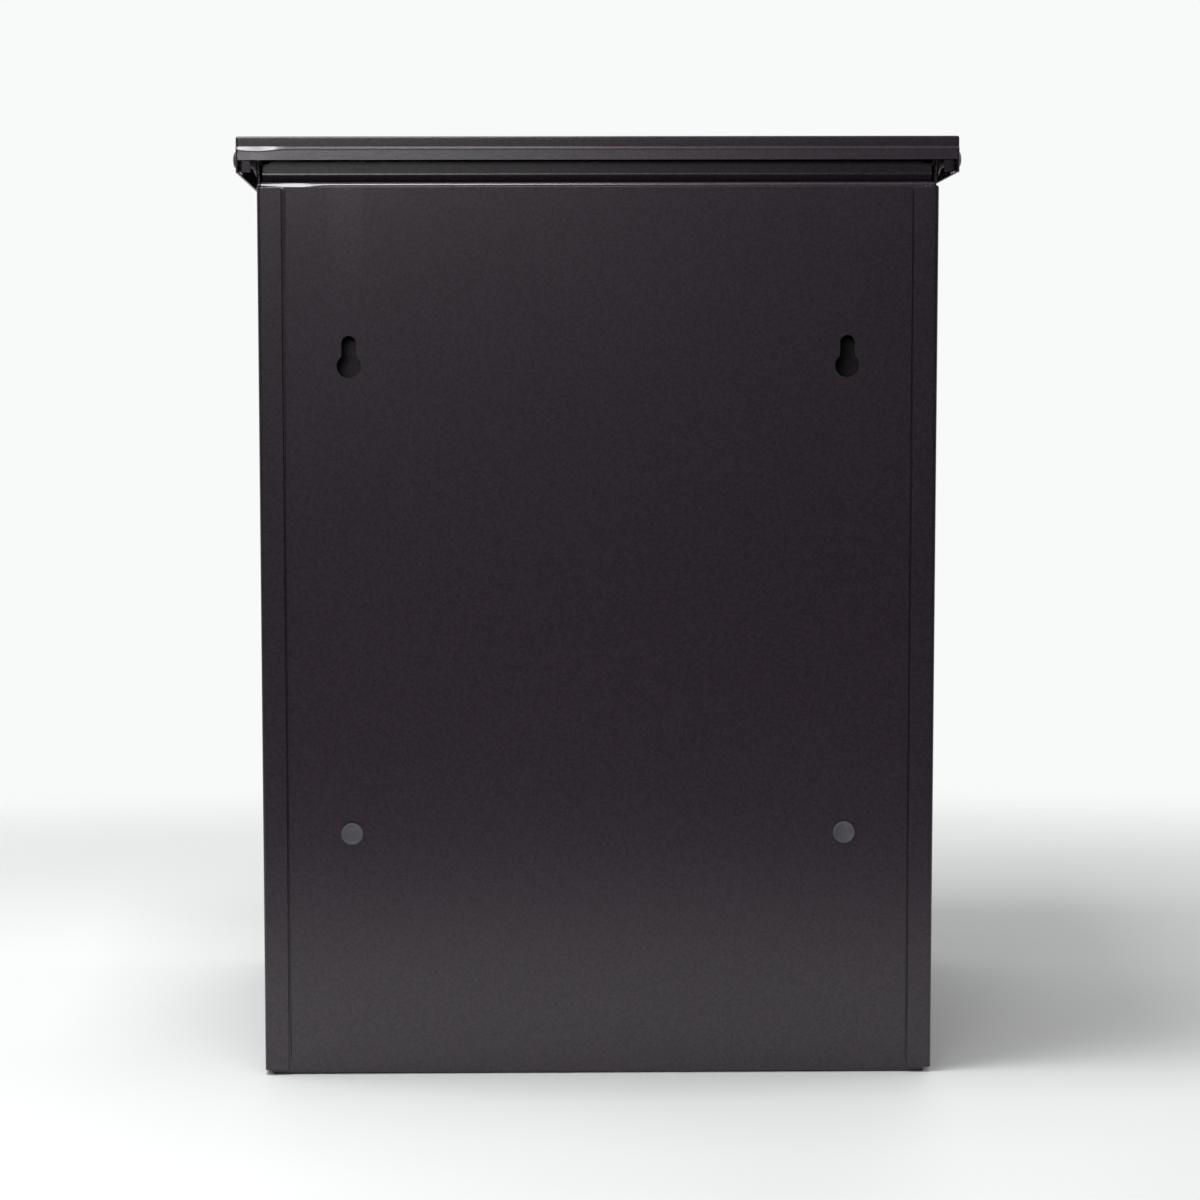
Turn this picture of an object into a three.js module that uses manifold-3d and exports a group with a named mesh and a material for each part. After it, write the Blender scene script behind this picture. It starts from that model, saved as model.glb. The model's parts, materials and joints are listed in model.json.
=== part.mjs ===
// Wall mounted parcel mailbox in folded, powder coated sheet steel.
// Millimetres, +Z up. The door faces -Y, the wall side is +Y, and the origin is on the floor at the
// centre of the overall box. Four bodies: the case, the lid with its swing plate, the door, the lock cam.
import * as THREE from 'three';
import { mergeVertices } from 'three/addons/utils/BufferGeometryUtils.js';
import Module from 'manifold-3d';

const wasm = await Module();
wasm.setup();

// ---- driving dimensions ------------------------------------------------------------------------
const bodyWidth = 408.5;        // case, outside of the side panels
const bodyDepth = 330;          // case, door face to wall face
const panelHeight = 546.2;      // floor to the top of the back panel's ledge
const sheet = 1.2;              // thickness of every case, lid and door sheet
const bendInside = 1.2;         // inside radius of every fold
const fitGap = 0.3;             // clearance between sheets and parts that touch
const runGap = 0.3;             // radial clearance of a pin or rivet in its hole

const rearFlange = 14.5;        // side panel's flange that laps over the back panel
const frontFlange = 20;         // side panel's flange beside the door
const skidHeight = 3;           // side panels stop this far above the floor
const underFold = 20;           // fold under the back panel and the sill
const cornerRelief = 4.6;       // back panel's fold is shorter than the case by this at each end

const ledgeDepth = 24;          // top of the back panel steps forward by this
const neckHeight = 9.8;         // and rises by this, behind the swing plate

const fixingInset = 54.25;      // side of the case to the centres of the wall fixings
const upperFixingDrop = 95.9;   // ledge down to the narrow end of each keyhole
const lowerFixingHeight = 150.3;
const keyholeHead = 7.3;        // radius of the keyhole's round part
const keyholeSlot = 4.4;        // half width of its slot
const keyholeTravel = 14;       // slot end above the round part
const plugHole = 5;
const plugHead = 6.7;
const plugHeadThickness = 1.1;

const pivotBack = 19.5;         // lid pivot ahead of the wall face
const pivotRise = 12.8;         // and above the ledge
const earRadius = 8.5;
const rivetShank = 2.5;
const rivetHead = 5;
const rivetHeadHeight = 1.8;
const rivetTail = 4;
const rivetTailHeight = 1.5;
const bushRadius = 5;
const bushFlange = 10.5;        // tapered flange of the bush, against the case
const bushFlangeThickness = 2.4;
const bushTaper = 1;            // taper from the flange down to the barrel

const lidSlope = THREE.MathUtils.degToRad(6.4);
const lidSideGap = 11.55;       // inside of the lid's skirt to the case
const lidRise = 15;             // pivot to the top of the lid at the back
const rearSkirtBack = 12;       // pivot to the outside of the rear skirt
const rearSkirtDrop = 14;       // lid top to the bottom of the rear skirt
const sideSkirtDrop = 21.6;     // lid top to the bottom of the side and front skirts
const skirtJog = 2;             // lower part of the rear skirt stands proud by this
const skirtJogDrop = 6.8;       // lid top to the jog
const lidOverhang = 10;         // front skirt ahead of the door
const lidClearance = 5;         // case's sloped edges under the lid
const pullWidth = 130;
const pullLip = 8.5;
const pullLeg = 13;
const pullCurl = 4;
const bracketLength = 30;
const bracketSetBack = 5;       // rear leg of the bracket ahead of the rear skirt
const bracketTop = 8;

const plateNeckGap = 4;         // swing plate in front of the neck
const plateSideGap = 5;
const plateTipGap = 9;          // its tip clears the front rail by this
const plateFlange = 30;
const plateHem = 10;
const cheekDepth = 25;
const cheekStart = 26;          // cheeks start this far below the pivot
const studRadius = 2;
const studLength = 7.2;
const nutRadius = 4.6;
const nutHeight = 3.2;
const restRadius = 6;

const railHeight = 62;          // front rail above the door
const railHem = 12;
const doorReturn = 14;
const sillHeight = 30;
const doorGap = 2;
const hingeBend = 8;            // door's hinge edge is rounded about its pins
const doorPin = 2.6;
const doorPinReach = 4;
const doorPinHead = 4.2;
const doorPinHeadHeight = 2;
const washerRadius = 6;
const washerThickness = 1.4;
const stiffenerWidth = 44;
const stiffenerDepth = 10;
const stiffenerFoot = 14;
const stiffenerMargin = 34;
const stopLap = 4.5;            // door stop rail reaches this far past the door's edge
const stopLeg = 30;
const stopMargin = 30;
const bufferHeight = 40;

const lockInset = 34;           // door's edge to the lock
const lockDrop = 88;            // door's top to the lock
const lockBarrel = 8;
const lockBore = 5.8;
const lockRotor = 5.5;
const lockFace = 11;
const lockFaceThickness = 2.2;
const lockNutRadius = 12;
const lockNutHeight = 3.5;
const keyway = { width: 1.7, height: 7, depth: 7 };
const camThickness = 2;
const camRadius = 7.5;
const camStub = 2.7;
const camOverlap = 8;           // cam reaches this far behind the stop rail
const camGap = 0.8;             // and runs clear of it by this
const camScrew = { radius: 5.2, height: 2.2 };

const trayWall = 15;

// ---- places worked out from them ---------------------------------------------------------------
const overallDepth = bodyDepth + lidOverhang + fitGap + sheet + pullLip;
const backY = overallDepth / 2;
const frontY = backY - bodyDepth;
const bodyHalf = bodyWidth / 2;
const bodyInner = bodyHalf - sheet;
const panelHalf = bodyInner - bendInside;
const bendOutside = bendInside + sheet;
const lapStep = sheet + fitGap;              // a lapped sheet lies this far inside the one over it

const pivotY = backY - pivotBack;
const pivotZ = panelHeight + pivotRise;
const hoodRear = pivotY + rearSkirtBack;
const hoodRearTop = hoodRear - skirtJog;
const hoodFront = frontY - lidOverhang;
const hoodInner = bodyHalf + lidSideGap;
const hoodHalf = hoodInner + sheet;
const lidTopRear = pivotZ + lidRise;
const lidTopAt = (y) => lidTopRear - Math.tan(lidSlope) * (hoodRearTop - y);
const lidUnderAt = (y) => lidTopAt(y) - sheet / Math.cos(lidSlope);

const panelFaceY = backY - lapStep;          // wall side of the back panel
const neckFaceY = panelFaceY - ledgeDepth;
const frameFaceY = frontY + lapStep;         // door side of the rail and the sill
const plateFaceY = neckFaceY - sheet - plateNeckGap;
const plateHalf = bodyInner - plateSideGap;

const restY = frameFaceY + restRadius;
const railTop = lidUnderAt(restY) - lidClearance - fitGap;
const railBottom = railTop - railHeight;
const doorTop = railBottom - doorGap;
const doorBottom = sillHeight + doorGap;
const doorHalf = bodyHalf - frontFlange - doorGap;
const hingeX = -doorHalf + hingeBend;
const hingeY = frontY + hingeBend;
const doorBackY = frontY + doorReturn;

const plateTipRadius = pivotY - (frameFaceY + railHem) - plateTipGap;
const plateTipZ = pivotZ - plateTipRadius;

const fixingX = bodyHalf - fixingInset;
const upperFixingZ = panelHeight - upperFixingDrop;
const lockX = doorHalf - lockInset;
const lockZ = doorTop - lockDrop;
const stopFaceY = doorBackY + washerThickness;
const stopEdgeX = doorHalf - stopLap;
const camY = stopFaceY + sheet + camGap;

// ---- geometry helpers --------------------------------------------------------------------------
const ROUND = 28;               // facets round a small circle
const BEND_STEPS = 4;           // facets in a fold
const BEYOND = 5;               // cutting shapes run past what they cut by this

// A point of a flat outline.
const at = (u, v) => new THREE.Vector2(u, v);

// Arc that rounds the corner between two directions, as points with the sheet's normal at each.
function cornerArc(corner, before, after, radius, steps) {
  const angle = Math.atan2(before.cross(after), before.dot(after));
  const side = Math.sign(angle);
  const start = corner.clone().addScaledVector(before, -radius * Math.tan(Math.abs(angle) / 2));
  const toLeft = at(-before.y, before.x);
  const centre = start.clone().addScaledVector(toLeft, side * radius);
  const arc = [];
  for (let k = 0; k <= steps; k += 1) {
    const normal = toLeft.clone().rotateAround(at(0, 0), (angle * k) / steps);
    arc.push({ point: centre.clone().addScaledVector(normal, -side * radius), normal });
  }
  return arc;
}

// Outline of a folded sheet. `face` lists the corners of one face, with the sheet on the left of the
// way it runs, and every fold has the same inside radius.
function foldedSheet(face) {
  const near = [];
  const far = [];
  const put = (point, normal) => {
    near.push(point);
    far.unshift(point.clone().addScaledVector(normal, sheet));
  };
  face.forEach((corner, i) => {
    const before = i > 0 ? corner.clone().sub(face[i - 1]).normalize() : null;
    const after = i < face.length - 1 ? face[i + 1].clone().sub(corner).normalize() : null;
    if (before && after) {
      const radius = before.cross(after) > 0 ? bendOutside : bendInside;
      cornerArc(corner, before, after, radius, BEND_STEPS).forEach((a) => put(a.point, a.normal));
    } else {
      const along = before ?? after;
      put(corner.clone(), at(-along.y, along.x));
    }
  });
  return new THREE.Shape([...near, ...far]);
}

// Closed outline whose corners are rounded by the radius given with each, 0 for a sharp one.
function roundedOutline(corners) {
  const count = corners.length;
  const points = corners.flatMap(([corner, radius], i) => {
    const before = corner.clone().sub(corners[(i + count - 1) % count][0]).normalize();
    const after = corners[(i + 1) % count][0].clone().sub(corner).normalize();
    return radius > 0 ? cornerArc(corner, before, after, radius, BEND_STEPS).map((a) => a.point) : [corner];
  });
  return new THREE.Shape(points);
}

const mirrored = (shape) => new THREE.Shape(shape.getPoints().map((p) => at(-p.x, p.y)).reverse());

function circle(radius, u = 0, v = 0) {
  const shape = new THREE.Shape();
  shape.absarc(u, v, radius, 0, 2 * Math.PI);
  return shape;
}

// Extrusions of a flat outline: in plan (x, y), from the side (y, z) and from the front (x, z).
function extruded(shape, length) {
  return new THREE.ExtrudeGeometry(shape, { depth: length, bevelEnabled: false, curveSegments: ROUND / 2 });
}

function alongZ(shape, low, high) {
  return extruded(shape, high - low).translate(0, 0, low);
}

const sideAxes = new THREE.Matrix4().makeBasis(
  new THREE.Vector3(0, 1, 0),
  new THREE.Vector3(0, 0, 1),
  new THREE.Vector3(1, 0, 0),
);

function alongX(shape, low, high) {
  return extruded(shape, high - low).applyMatrix4(sideAxes).translate(low, 0, 0);
}

function alongY(shape, low, high) {
  return extruded(shape, high - low).rotateX(Math.PI / 2).translate(0, high, 0);
}

// Box between two opposite corners.
function block([x0, y0, z0], [x1, y1, z1]) {
  const box = new THREE.BoxGeometry(Math.abs(x1 - x0), Math.abs(y1 - y0), Math.abs(z1 - z0));
  return box.translate((x0 + x1) / 2, (y0 + y1) / 2, (z0 + z1) / 2);
}

// Turned part about Y, from (radius, y) points that start and end on the axis or close on themselves.
function turned(points) {
  return new THREE.LatheGeometry(points.map(([r, y]) => at(r, y)), ROUND);
}

const turnedRing = (points) => turned([...points, points[0]]);

// Mesh with shared corners and no collapsed triangles.
function welded(geometry) {
  const bare = geometry.clone();
  bare.deleteAttribute('normal');
  bare.deleteAttribute('uv');
  const merged = mergeVertices(bare, 1e-4);
  const index = merged.index.array;
  const kept = [];
  for (let i = 0; i < index.length; i += 3) {
    const [a, b, c] = [index[i], index[i + 1], index[i + 2]];
    if (a !== b && b !== c && c !== a) {
      kept.push(a, b, c);
    }
  }
  merged.setIndex(kept);
  return merged;
}

function solid(geometry) {
  const mesh = welded(geometry);
  return new wasm.Manifold(new wasm.Mesh({
    numProp: 3,
    vertProperties: new Float32Array(mesh.attributes.position.array),
    triVerts: new Uint32Array(mesh.index.array),
  }));
}

function geometryOf(body) {
  const mesh = body.getMesh();
  const geometry = new THREE.BufferGeometry();
  geometry.setAttribute('position', new THREE.BufferAttribute(mesh.vertProperties, 3));
  geometry.setIndex(new THREE.BufferAttribute(mesh.triVerts, 1));
  return geometry;
}

const cut = (body, ...tools) => tools.reduce((rest, tool) => rest.subtract(solid(tool)), body);
const joined = (body, ...others) => others.reduce((whole, other) => whole.add(solid(other)), body);

// ---- finishes and the assembly -----------------------------------------------------------------
const COAT = { color: 0x37343a, roughness: 0.5, metalness: 0.1 };
const ZINC = { color: 0xa8abb0, roughness: 0.35, metalness: 0.9 };
const CHROME = { color: 0xd4d6d8, roughness: 0.12, metalness: 1 };
const RUBBER = { color: 0x1d1d1f, roughness: 0.85, metalness: 0 };
const NYLON = { color: 0x242326, roughness: 0.6, metalness: 0 };
const PLUG = { color: 0x55535a, roughness: 0.6, metalness: 0 };

const mailbox = new THREE.Group();

function add(name, geometry, look, parent = mailbox) {
  const mesh = new THREE.Mesh(geometry, new THREE.MeshStandardMaterial(look));
  mesh.name = name;
  parent.add(mesh);
  return mesh;
}

const SIDES = [{ name: 'left', sign: -1 }, { name: 'right', sign: 1 }];

// ---- case --------------------------------------------------------------------------------------

// Folded side panel: door flange, side, wall flange. Its top follows the lid, is cut back over the
// ledge, and keeps a round ear for the lid's pivot.
function sidePanel({ name, sign }) {
  const plan = foldedSheet([
    at(bodyHalf - frontFlange, frontY),
    at(bodyHalf, frontY),
    at(bodyHalf, backY),
    at(bodyHalf - rearFlange, backY),
  ]);
  const folded = solid(alongZ(sign > 0 ? plan : mirrored(plan), skidHeight, lidTopRear));
  const topAt = (y) => lidUnderAt(y) - lidClearance;
  const flangeTop = panelHeight - bendOutside;
  const earNotch = 1;
  const earEdge = pivotY - earNotch;
  const outline = new THREE.Shape([
    at(frontY - BEYOND, 0),
    at(backY + BEYOND, 0),
    at(backY + BEYOND, flangeTop),
    at(earEdge, flangeTop),
    at(earEdge, topAt(earEdge)),
    at(frontY - BEYOND, topAt(frontY - BEYOND)),
  ]);
  const span = [-bodyWidth, bodyWidth];
  const kept = joined(solid(alongX(outline, ...span)), alongX(circle(earRadius, pivotY, pivotZ), ...span));
  const hole = alongX(circle(rivetShank + runGap, pivotY, pivotZ), ...span);
  add(`side_panel_${name}`, geometryOf(cut(folded.intersect(kept), hole)), COAT);
}

// Round head opening with a narrower slot above it, through the back panel.
function keyhole(x) {
  const low = panelFaceY - BEYOND;
  const headZ = upperFixingZ - keyholeTravel;
  const slot = [[x - keyholeSlot, low, headZ], [x + keyholeSlot, backY, upperFixingZ]];
  return [
    alongY(circle(keyholeHead, x, headZ), low, backY),
    alongY(circle(keyholeSlot, x, upperFixingZ), low, backY),
    block(...slot),
  ];
}

// Back panel: fold under the floor pan, wall face, ledge and neck.
function backPanel() {
  const profile = foldedSheet([
    at(panelFaceY - underFold, 0),
    at(panelFaceY, 0),
    at(panelFaceY, panelHeight),
    at(neckFaceY, panelHeight),
    at(neckFaceY, panelHeight + neckHeight),
  ]);
  const foldHalf = bodyHalf - cornerRelief;
  const neckHalf = bodyInner - rivetTailHeight - 2 * fitGap;
  const above = panelHeight + bendOutside;
  const ends = SIDES.flatMap(({ sign }) => [
    block([sign * foldHalf, frontY, -sheet], [sign * bodyWidth, backY, skidHeight + fitGap]),
    block([sign * neckHalf, frontY, above], [sign * bodyWidth, backY, lidTopRear]),
  ]);
  const holes = SIDES.flatMap(({ sign }) => [
    ...keyhole(sign * fixingX),
    alongY(circle(plugHole, sign * fixingX, lowerFixingHeight), panelFaceY - BEYOND, backY),
  ]);
  add('back_panel', geometryOf(cut(solid(alongX(profile, -panelHalf, panelHalf)), ...ends, ...holes)), COAT);
}

// Snap-in plug for a lower fixing hole that isn't used: barb, stem and a head with a raised rim.
function holePlug({ name, sign }) {
  const stem = plugHole - fitGap;
  const catches = 0.5;
  const lead = 1;
  const behind = sheet + 2 * fitGap;
  const barbLength = 4;
  const rimWidth = 1.3;
  const dish = 0.4;
  const plug = turned([
    [0, -behind - barbLength],
    [stem - lead, -behind - barbLength],
    [plugHole + catches, -behind - lead],
    [stem, -behind],
    [stem, 0],
    [plugHead, 0],
    [plugHead, plugHeadThickness - dish],
    [plugHead - dish, plugHeadThickness],
    [plugHead - rimWidth + dish, plugHeadThickness],
    [plugHead - rimWidth, plugHeadThickness - dish],
    [0, plugHeadThickness - dish],
  ]);
  const mesh = add(`hole_plug_${name}`, plug, PLUG);
  mesh.position.set(sign * fixingX, panelFaceY + fitGap, lowerFixingHeight);
}

// Floor pan: a tray with four upstands, lying on the folds of the back panel and the sill.
function floorPan() {
  const half = bodyInner - fitGap;
  const low = frameFaceY + sheet + bendInside;
  const high = panelFaceY - sheet - bendInside;
  const under = sheet + fitGap;
  const tray = solid(block([-half, low, under], [half, high, under + trayWall]));
  const inside = block(
    [-half + sheet, low + sheet, under + sheet],
    [half - sheet, high - sheet, under + 2 * trayWall],
  );
  add('floor_pan', geometryOf(cut(tray, inside)), COAT);
}

const hingeBore = () => circle(doorPin + runGap, hingeX, hingeY);

// Sill under the door. Its top fold holds the door's lower pin.
function frontSill() {
  const profile = foldedSheet([
    at(frameFaceY + doorReturn, sillHeight),
    at(frameFaceY, sillHeight),
    at(frameFaceY, 0),
    at(frameFaceY + underFold, 0),
  ]);
  const hole = alongZ(hingeBore(), sillHeight - bendOutside, sillHeight + BEYOND);
  add('front_sill', geometryOf(cut(solid(alongX(profile, -panelHalf, panelHalf)), hole)), COAT);
}

// Rail above the door: hem at the top, where the lid rests, and a fold at the bottom for the upper pin.
function frontRail() {
  const profile = foldedSheet([
    at(frameFaceY + railHem, railTop),
    at(frameFaceY, railTop),
    at(frameFaceY, railBottom),
    at(frameFaceY + doorReturn, railBottom),
  ]);
  const hole = alongZ(hingeBore(), railBottom - BEYOND, railBottom + bendOutside);
  add('front_rail', geometryOf(cut(solid(alongX(profile, -panelHalf, panelHalf)), hole)), COAT);
}

// Angle behind the door's lock edge. The door closes on it and the cam turns in behind it.
function doorStop() {
  const plan = foldedSheet([
    at(stopEdgeX, stopFaceY),
    at(bodyInner - fitGap, stopFaceY),
    at(bodyInner - fitGap, stopFaceY + stopLeg),
  ]);
  add('door_stop_rail', alongZ(plan, doorBottom + stopMargin, doorTop - stopMargin), COAT);
}

// Rubber strip between the door's edge and the stop rail.
function doorBuffer(name, z) {
  const margin = 0.1;
  const strip = block(
    [stopEdgeX + margin, doorBackY + margin, z],
    [doorHalf - margin, stopFaceY - margin, z + bufferHeight],
  );
  add(`door_buffer_${name}`, strip, RUBBER);
}

// Rubber button on the rail's hem that the lid comes down on.
function lidRest({ name, sign }) {
  const seat = railTop + fitGap;
  const height = lidUnderAt(restY - restRadius) - fitGap - seat;
  const rounding = 1;
  const button = turned([
    [0, 0],
    [restRadius, 0],
    [restRadius, height - rounding],
    [restRadius - rounding, height],
    [0, height],
  ]).rotateX(Math.PI / 2);
  add(`lid_rest_${name}`, button, RUBBER).position.set(sign * fixingX, restY, seat);
}

// ---- lid ---------------------------------------------------------------------------------------

// Side view of the hood, moved in from its outside by `inset`; the skirts reach `extra` lower.
function hoodSide(inset, extra) {
  const rear = hoodRear - inset;
  const rearTop = hoodRearTop - inset;
  const front = hoodFront + inset;
  const topAt = (y) => lidTopAt(y) - inset / Math.cos(lidSlope);
  const bottomAt = (y) => lidTopAt(y) - sideSkirtDrop - extra;
  const bend = bendOutside - inset;
  const jogZ = lidTopRear - skirtJogDrop;
  const jogHalf = skirtJog / 2;
  return roundedOutline([
    [at(rear, bottomAt(rear)), 0],
    [at(rear, jogZ - jogHalf - inset / 2), 0],
    [at(rearTop, jogZ + jogHalf - inset / 2), 0],
    [at(rearTop, topAt(rearTop)), bend],
    [at(front, topAt(front)), bend],
    [at(front, bottomAt(front)), 0],
  ]);
}

// Hood-shaped block with rounded edges all round: the side view, the view along the slope and the plan.
function hoodBlock(inset, extra) {
  const half = hoodHalf - inset;
  const bend = bendOutside - inset;
  const deep = 2 * sideSkirtDrop;
  const side = solid(alongX(hoodSide(inset, extra), -hoodHalf - BEYOND, hoodHalf + BEYOND));
  const across = roundedOutline([
    [at(-half, -deep), 0],
    [at(half, -deep), 0],
    [at(half, -inset), bend],
    [at(-half, -inset), bend],
  ]);
  const sloped = alongY(across, -2 * bodyDepth, bodyDepth).rotateX(lidSlope);
  sloped.translate(0, hoodRearTop, lidTopRear);
  const plan = roundedOutline([
    [at(-half, hoodFront + inset), bend],
    [at(half, hoodFront + inset), bend],
    [at(half, hoodRear - inset), bend],
    [at(-half, hoodRear - inset), bend],
  ]);
  return side.intersect(solid(sloped)).intersect(solid(alongZ(plan, 0, 2 * lidTopRear)));
}

function lidHood() {
  const shell = hoodBlock(0, 0).subtract(hoodBlock(sheet, sideSkirtDrop));
  const rearCut = block(
    [-hoodInner, hoodRear - skirtJog - bendOutside, 0],
    [hoodInner, hoodRear + BEYOND, lidTopRear - rearSkirtDrop],
  );
  const holes = alongX(circle(rivetShank + runGap, pivotY, pivotZ), -2 * hoodHalf, 2 * hoodHalf);
  add('lid_hood', geometryOf(cut(shell, rearCut, holes)), COAT);
}

// Folded finger pull on the front skirt.
function lidPull() {
  const faceY = hoodFront - fitGap - sheet;
  const skirtLow = lidTopAt(hoodFront) - sideSkirtDrop;
  const lipZ = skirtLow + pullCurl;
  const profile = foldedSheet([
    at(faceY, lipZ + pullLeg),
    at(faceY, lipZ),
    at(faceY - pullLip, lipZ),
    at(faceY - pullLip, lipZ - pullCurl),
  ]);
  add('lid_pull', alongX(profile, -pullWidth / 2, pullWidth / 2), COAT);
}

// Angle inside each end of the lid: it takes the pivot rivet and closes the corner behind it.
function pivotBracket({ name, sign }) {
  const outer = hoodInner - fitGap;
  const legY = hoodRear - bracketSetBack;
  const inner = bodyHalf + bushFlangeThickness + bushTaper + 2 * fitGap;
  const plan = foldedSheet([
    at(outer, legY - bracketLength),
    at(outer, legY),
    at(inner, legY),
  ]);
  const angle = solid(alongZ(sign > 0 ? plan : mirrored(plan), 0, pivotZ + bracketTop));
  const bottomAt = (y) => lidTopAt(y) - sideSkirtDrop + fitGap;
  const below = new THREE.Shape([
    at(frontY, -BEYOND),
    at(backY, -BEYOND),
    at(backY, bottomAt(backY)),
    at(frontY, bottomAt(frontY)),
  ]);
  const hole = alongX(circle(rivetShank + runGap, pivotY, pivotZ), -bodyWidth, bodyWidth);
  const under = alongX(below, -bodyWidth, bodyWidth);
  add(`pivot_bracket_${name}`, geometryOf(cut(angle, under, hole)), COAT);
}

// Rivet through skirt, bracket, bush and case ear, with a domed head outside and a flat tail inside.
function pivotRivet({ name, sign }) {
  const headSeat = hoodHalf + fitGap;
  const tailSeat = bodyInner - fitGap;
  const dome = [];
  for (let k = 0; k <= BEND_STEPS; k += 1) {
    const angle = (k / BEND_STEPS) * (Math.PI / 2);
    dome.push([rivetHead * Math.cos(angle), headSeat + rivetHeadHeight * Math.sin(angle)]);
  }
  dome[BEND_STEPS][0] = 0;
  const rivet = turned([
    [0, tailSeat - rivetTailHeight],
    [rivetTail, tailSeat - rivetTailHeight],
    [rivetTail, tailSeat],
    [rivetShank, tailSeat],
    [rivetShank, headSeat],
    ...dome,
  ]).rotateZ(sign > 0 ? -Math.PI / 2 : Math.PI / 2);
  add(`pivot_rivet_${name}`, rivet, COAT).position.set(0, pivotY, pivotZ);
}

// Spacer bush between the lid's bracket and the case, with a tapered flange against the case.
function pivotBush({ name, sign }) {
  const low = bodyHalf + fitGap;
  const high = hoodInner - sheet - 2 * fitGap;
  const bore = rivetShank + runGap;
  const bush = turnedRing([
    [bore, low],
    [bushFlange, low],
    [bushRadius + bushTaper, low + bushFlangeThickness],
    [bushRadius, low + bushFlangeThickness + bushTaper],
    [bushRadius, high],
    [bore, high],
  ]).rotateZ(sign > 0 ? -Math.PI / 2 : Math.PI / 2);
  add(`pivot_bush_${name}`, bush, NYLON).position.set(0, pivotY, pivotZ);
}

const studXs = [-3, -1, 1, 3].map((k) => (k / 4) * plateHalf);
const studY = plateFaceY - plateFlange / 2 - sheet;

// A stud hangs square to the lid's underside.
function studPlace(object, x) {
  object.rotation.x = lidSlope;
  object.position.set(x, studY, lidUnderAt(studY) - fitGap);
  object.updateMatrix();
}

// Swing plate: hangs from the lid behind the parcel, and closes the mouth when the lid is up.
function swingPlate() {
  const gap = fitGap / Math.cos(lidSlope);
  const flangeEnd = plateFaceY - plateFlange;
  const profile = foldedSheet([
    at(plateFaceY - plateHem, plateTipZ),
    at(plateFaceY, plateTipZ),
    at(plateFaceY, lidUnderAt(plateFaceY) - gap),
    at(flangeEnd, lidUnderAt(flangeEnd) - gap),
  ]);
  const cheekTop = pivotZ - cheekStart;
  const cheek = new THREE.Shape([
    at(plateFaceY, cheekTop),
    at(plateFaceY - cheekDepth, cheekTop - 2 * cheekDepth),
    at(plateFaceY - cheekDepth, plateTipZ + plateHem),
    at(plateFaceY - plateHem, plateTipZ),
    at(plateFaceY - bendOutside, plateTipZ),
    at(plateFaceY, plateTipZ + bendOutside),
  ]);
  const cheeks = [alongX(cheek, -plateHalf, -plateHalf + sheet), alongX(cheek, plateHalf - sheet, plateHalf)];
  const holes = studXs.map((x) => {
    const hole = new THREE.Object3D();
    studPlace(hole, x);
    const drill = alongZ(circle(studRadius + fitGap), -studLength, studLength);
    return drill.applyMatrix4(hole.matrix);
  });
  const plate = joined(solid(alongX(profile, -plateHalf, plateHalf)), ...cheeks);
  add('swing_plate', geometryOf(cut(plate, ...holes)), COAT);
}

// Welded stud with its nut, holding the swing plate's flange under the lid.
function plateStud(x, i) {
  const nutTop = -sheet - 2 * fitGap;
  const stud = solid(alongZ(circle(studRadius), -studLength, 0));
  const nut = new THREE.CylinderGeometry(nutRadius, nutRadius, nutHeight, 6).rotateX(Math.PI / 2);
  const body = joined(stud, nut.translate(0, 0, nutTop - nutHeight / 2));
  studPlace(add(`plate_stud_${i + 1}`, geometryOf(body), ZINC), x);
}

// ---- door --------------------------------------------------------------------------------------

// Plan of the door pan, moved in by `inset`: the hinge edge is rounded about the pins.
function doorPlan(inset, back) {
  const left = -doorHalf + inset;
  const right = doorHalf - inset;
  const front = frontY + inset;
  return roundedOutline([
    [at(left, front), hingeBend - inset],
    [at(right, front), bendOutside - inset],
    [at(right, back), 0],
    [at(left, back), 0],
  ]);
}

function doorPanel() {
  const pan = solid(alongZ(doorPlan(0, doorBackY), doorBottom, doorTop));
  const inside = alongZ(doorPlan(sheet, doorBackY + BEYOND), doorBottom + sheet, doorTop - sheet);
  const pins = alongZ(hingeBore(), doorBottom - BEYOND, doorTop + BEYOND);
  const lockHole = alongY(circle(lockBarrel + fitGap, lockX, lockZ), frontY - BEYOND, frontY + 2 * sheet);
  add('door_panel', geometryOf(cut(pan, inside, pins, lockHole)), COAT);
}

// Hat section spot welded up the middle of the door.
function doorStiffener() {
  const back = frontY + sheet + fitGap;
  const crest = back + stiffenerDepth;
  const half = stiffenerWidth / 2;
  const web = half - stiffenerFoot;
  const plan = foldedSheet([
    at(half, back + sheet),
    at(web, back + sheet),
    at(web, crest),
    at(-web, crest),
    at(-web, back + sheet),
    at(-half, back + sheet),
  ]);
  add('door_stiffener', alongZ(plan, doorBottom + stiffenerMargin, doorTop - stiffenerMargin), COAT);
}

// Hinge pin, its head inside the frame and its end inside the door; `up` is +1 at the top of the door.
function doorPinPart(name, frameZ, up) {
  const seat = sheet + fitGap;
  const end = -doorGap - sheet - doorPinReach;
  const chamfer = 0.6;
  const pin = turned([
    [0, end],
    [doorPin - chamfer, end],
    [doorPin, end + chamfer],
    [doorPin, seat],
    [doorPinHead, seat],
    [doorPinHead, seat + doorPinHeadHeight],
    [0, seat + doorPinHeadHeight],
  ]).rotateX(up > 0 ? Math.PI / 2 : -Math.PI / 2);
  add(`door_pin_${name}`, pin, ZINC).position.set(hingeX, hingeY, frameZ);
}

function doorWasher(name, z) {
  const ring = circle(washerRadius, hingeX, hingeY);
  ring.holes.push(hingeBore());
  add(`door_washer_${name}`, alongZ(ring, z, z + washerThickness), NYLON);
}

// ---- lock --------------------------------------------------------------------------------------

const lockPlace = (mesh) => mesh.position.set(lockX, frontY, lockZ);

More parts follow.
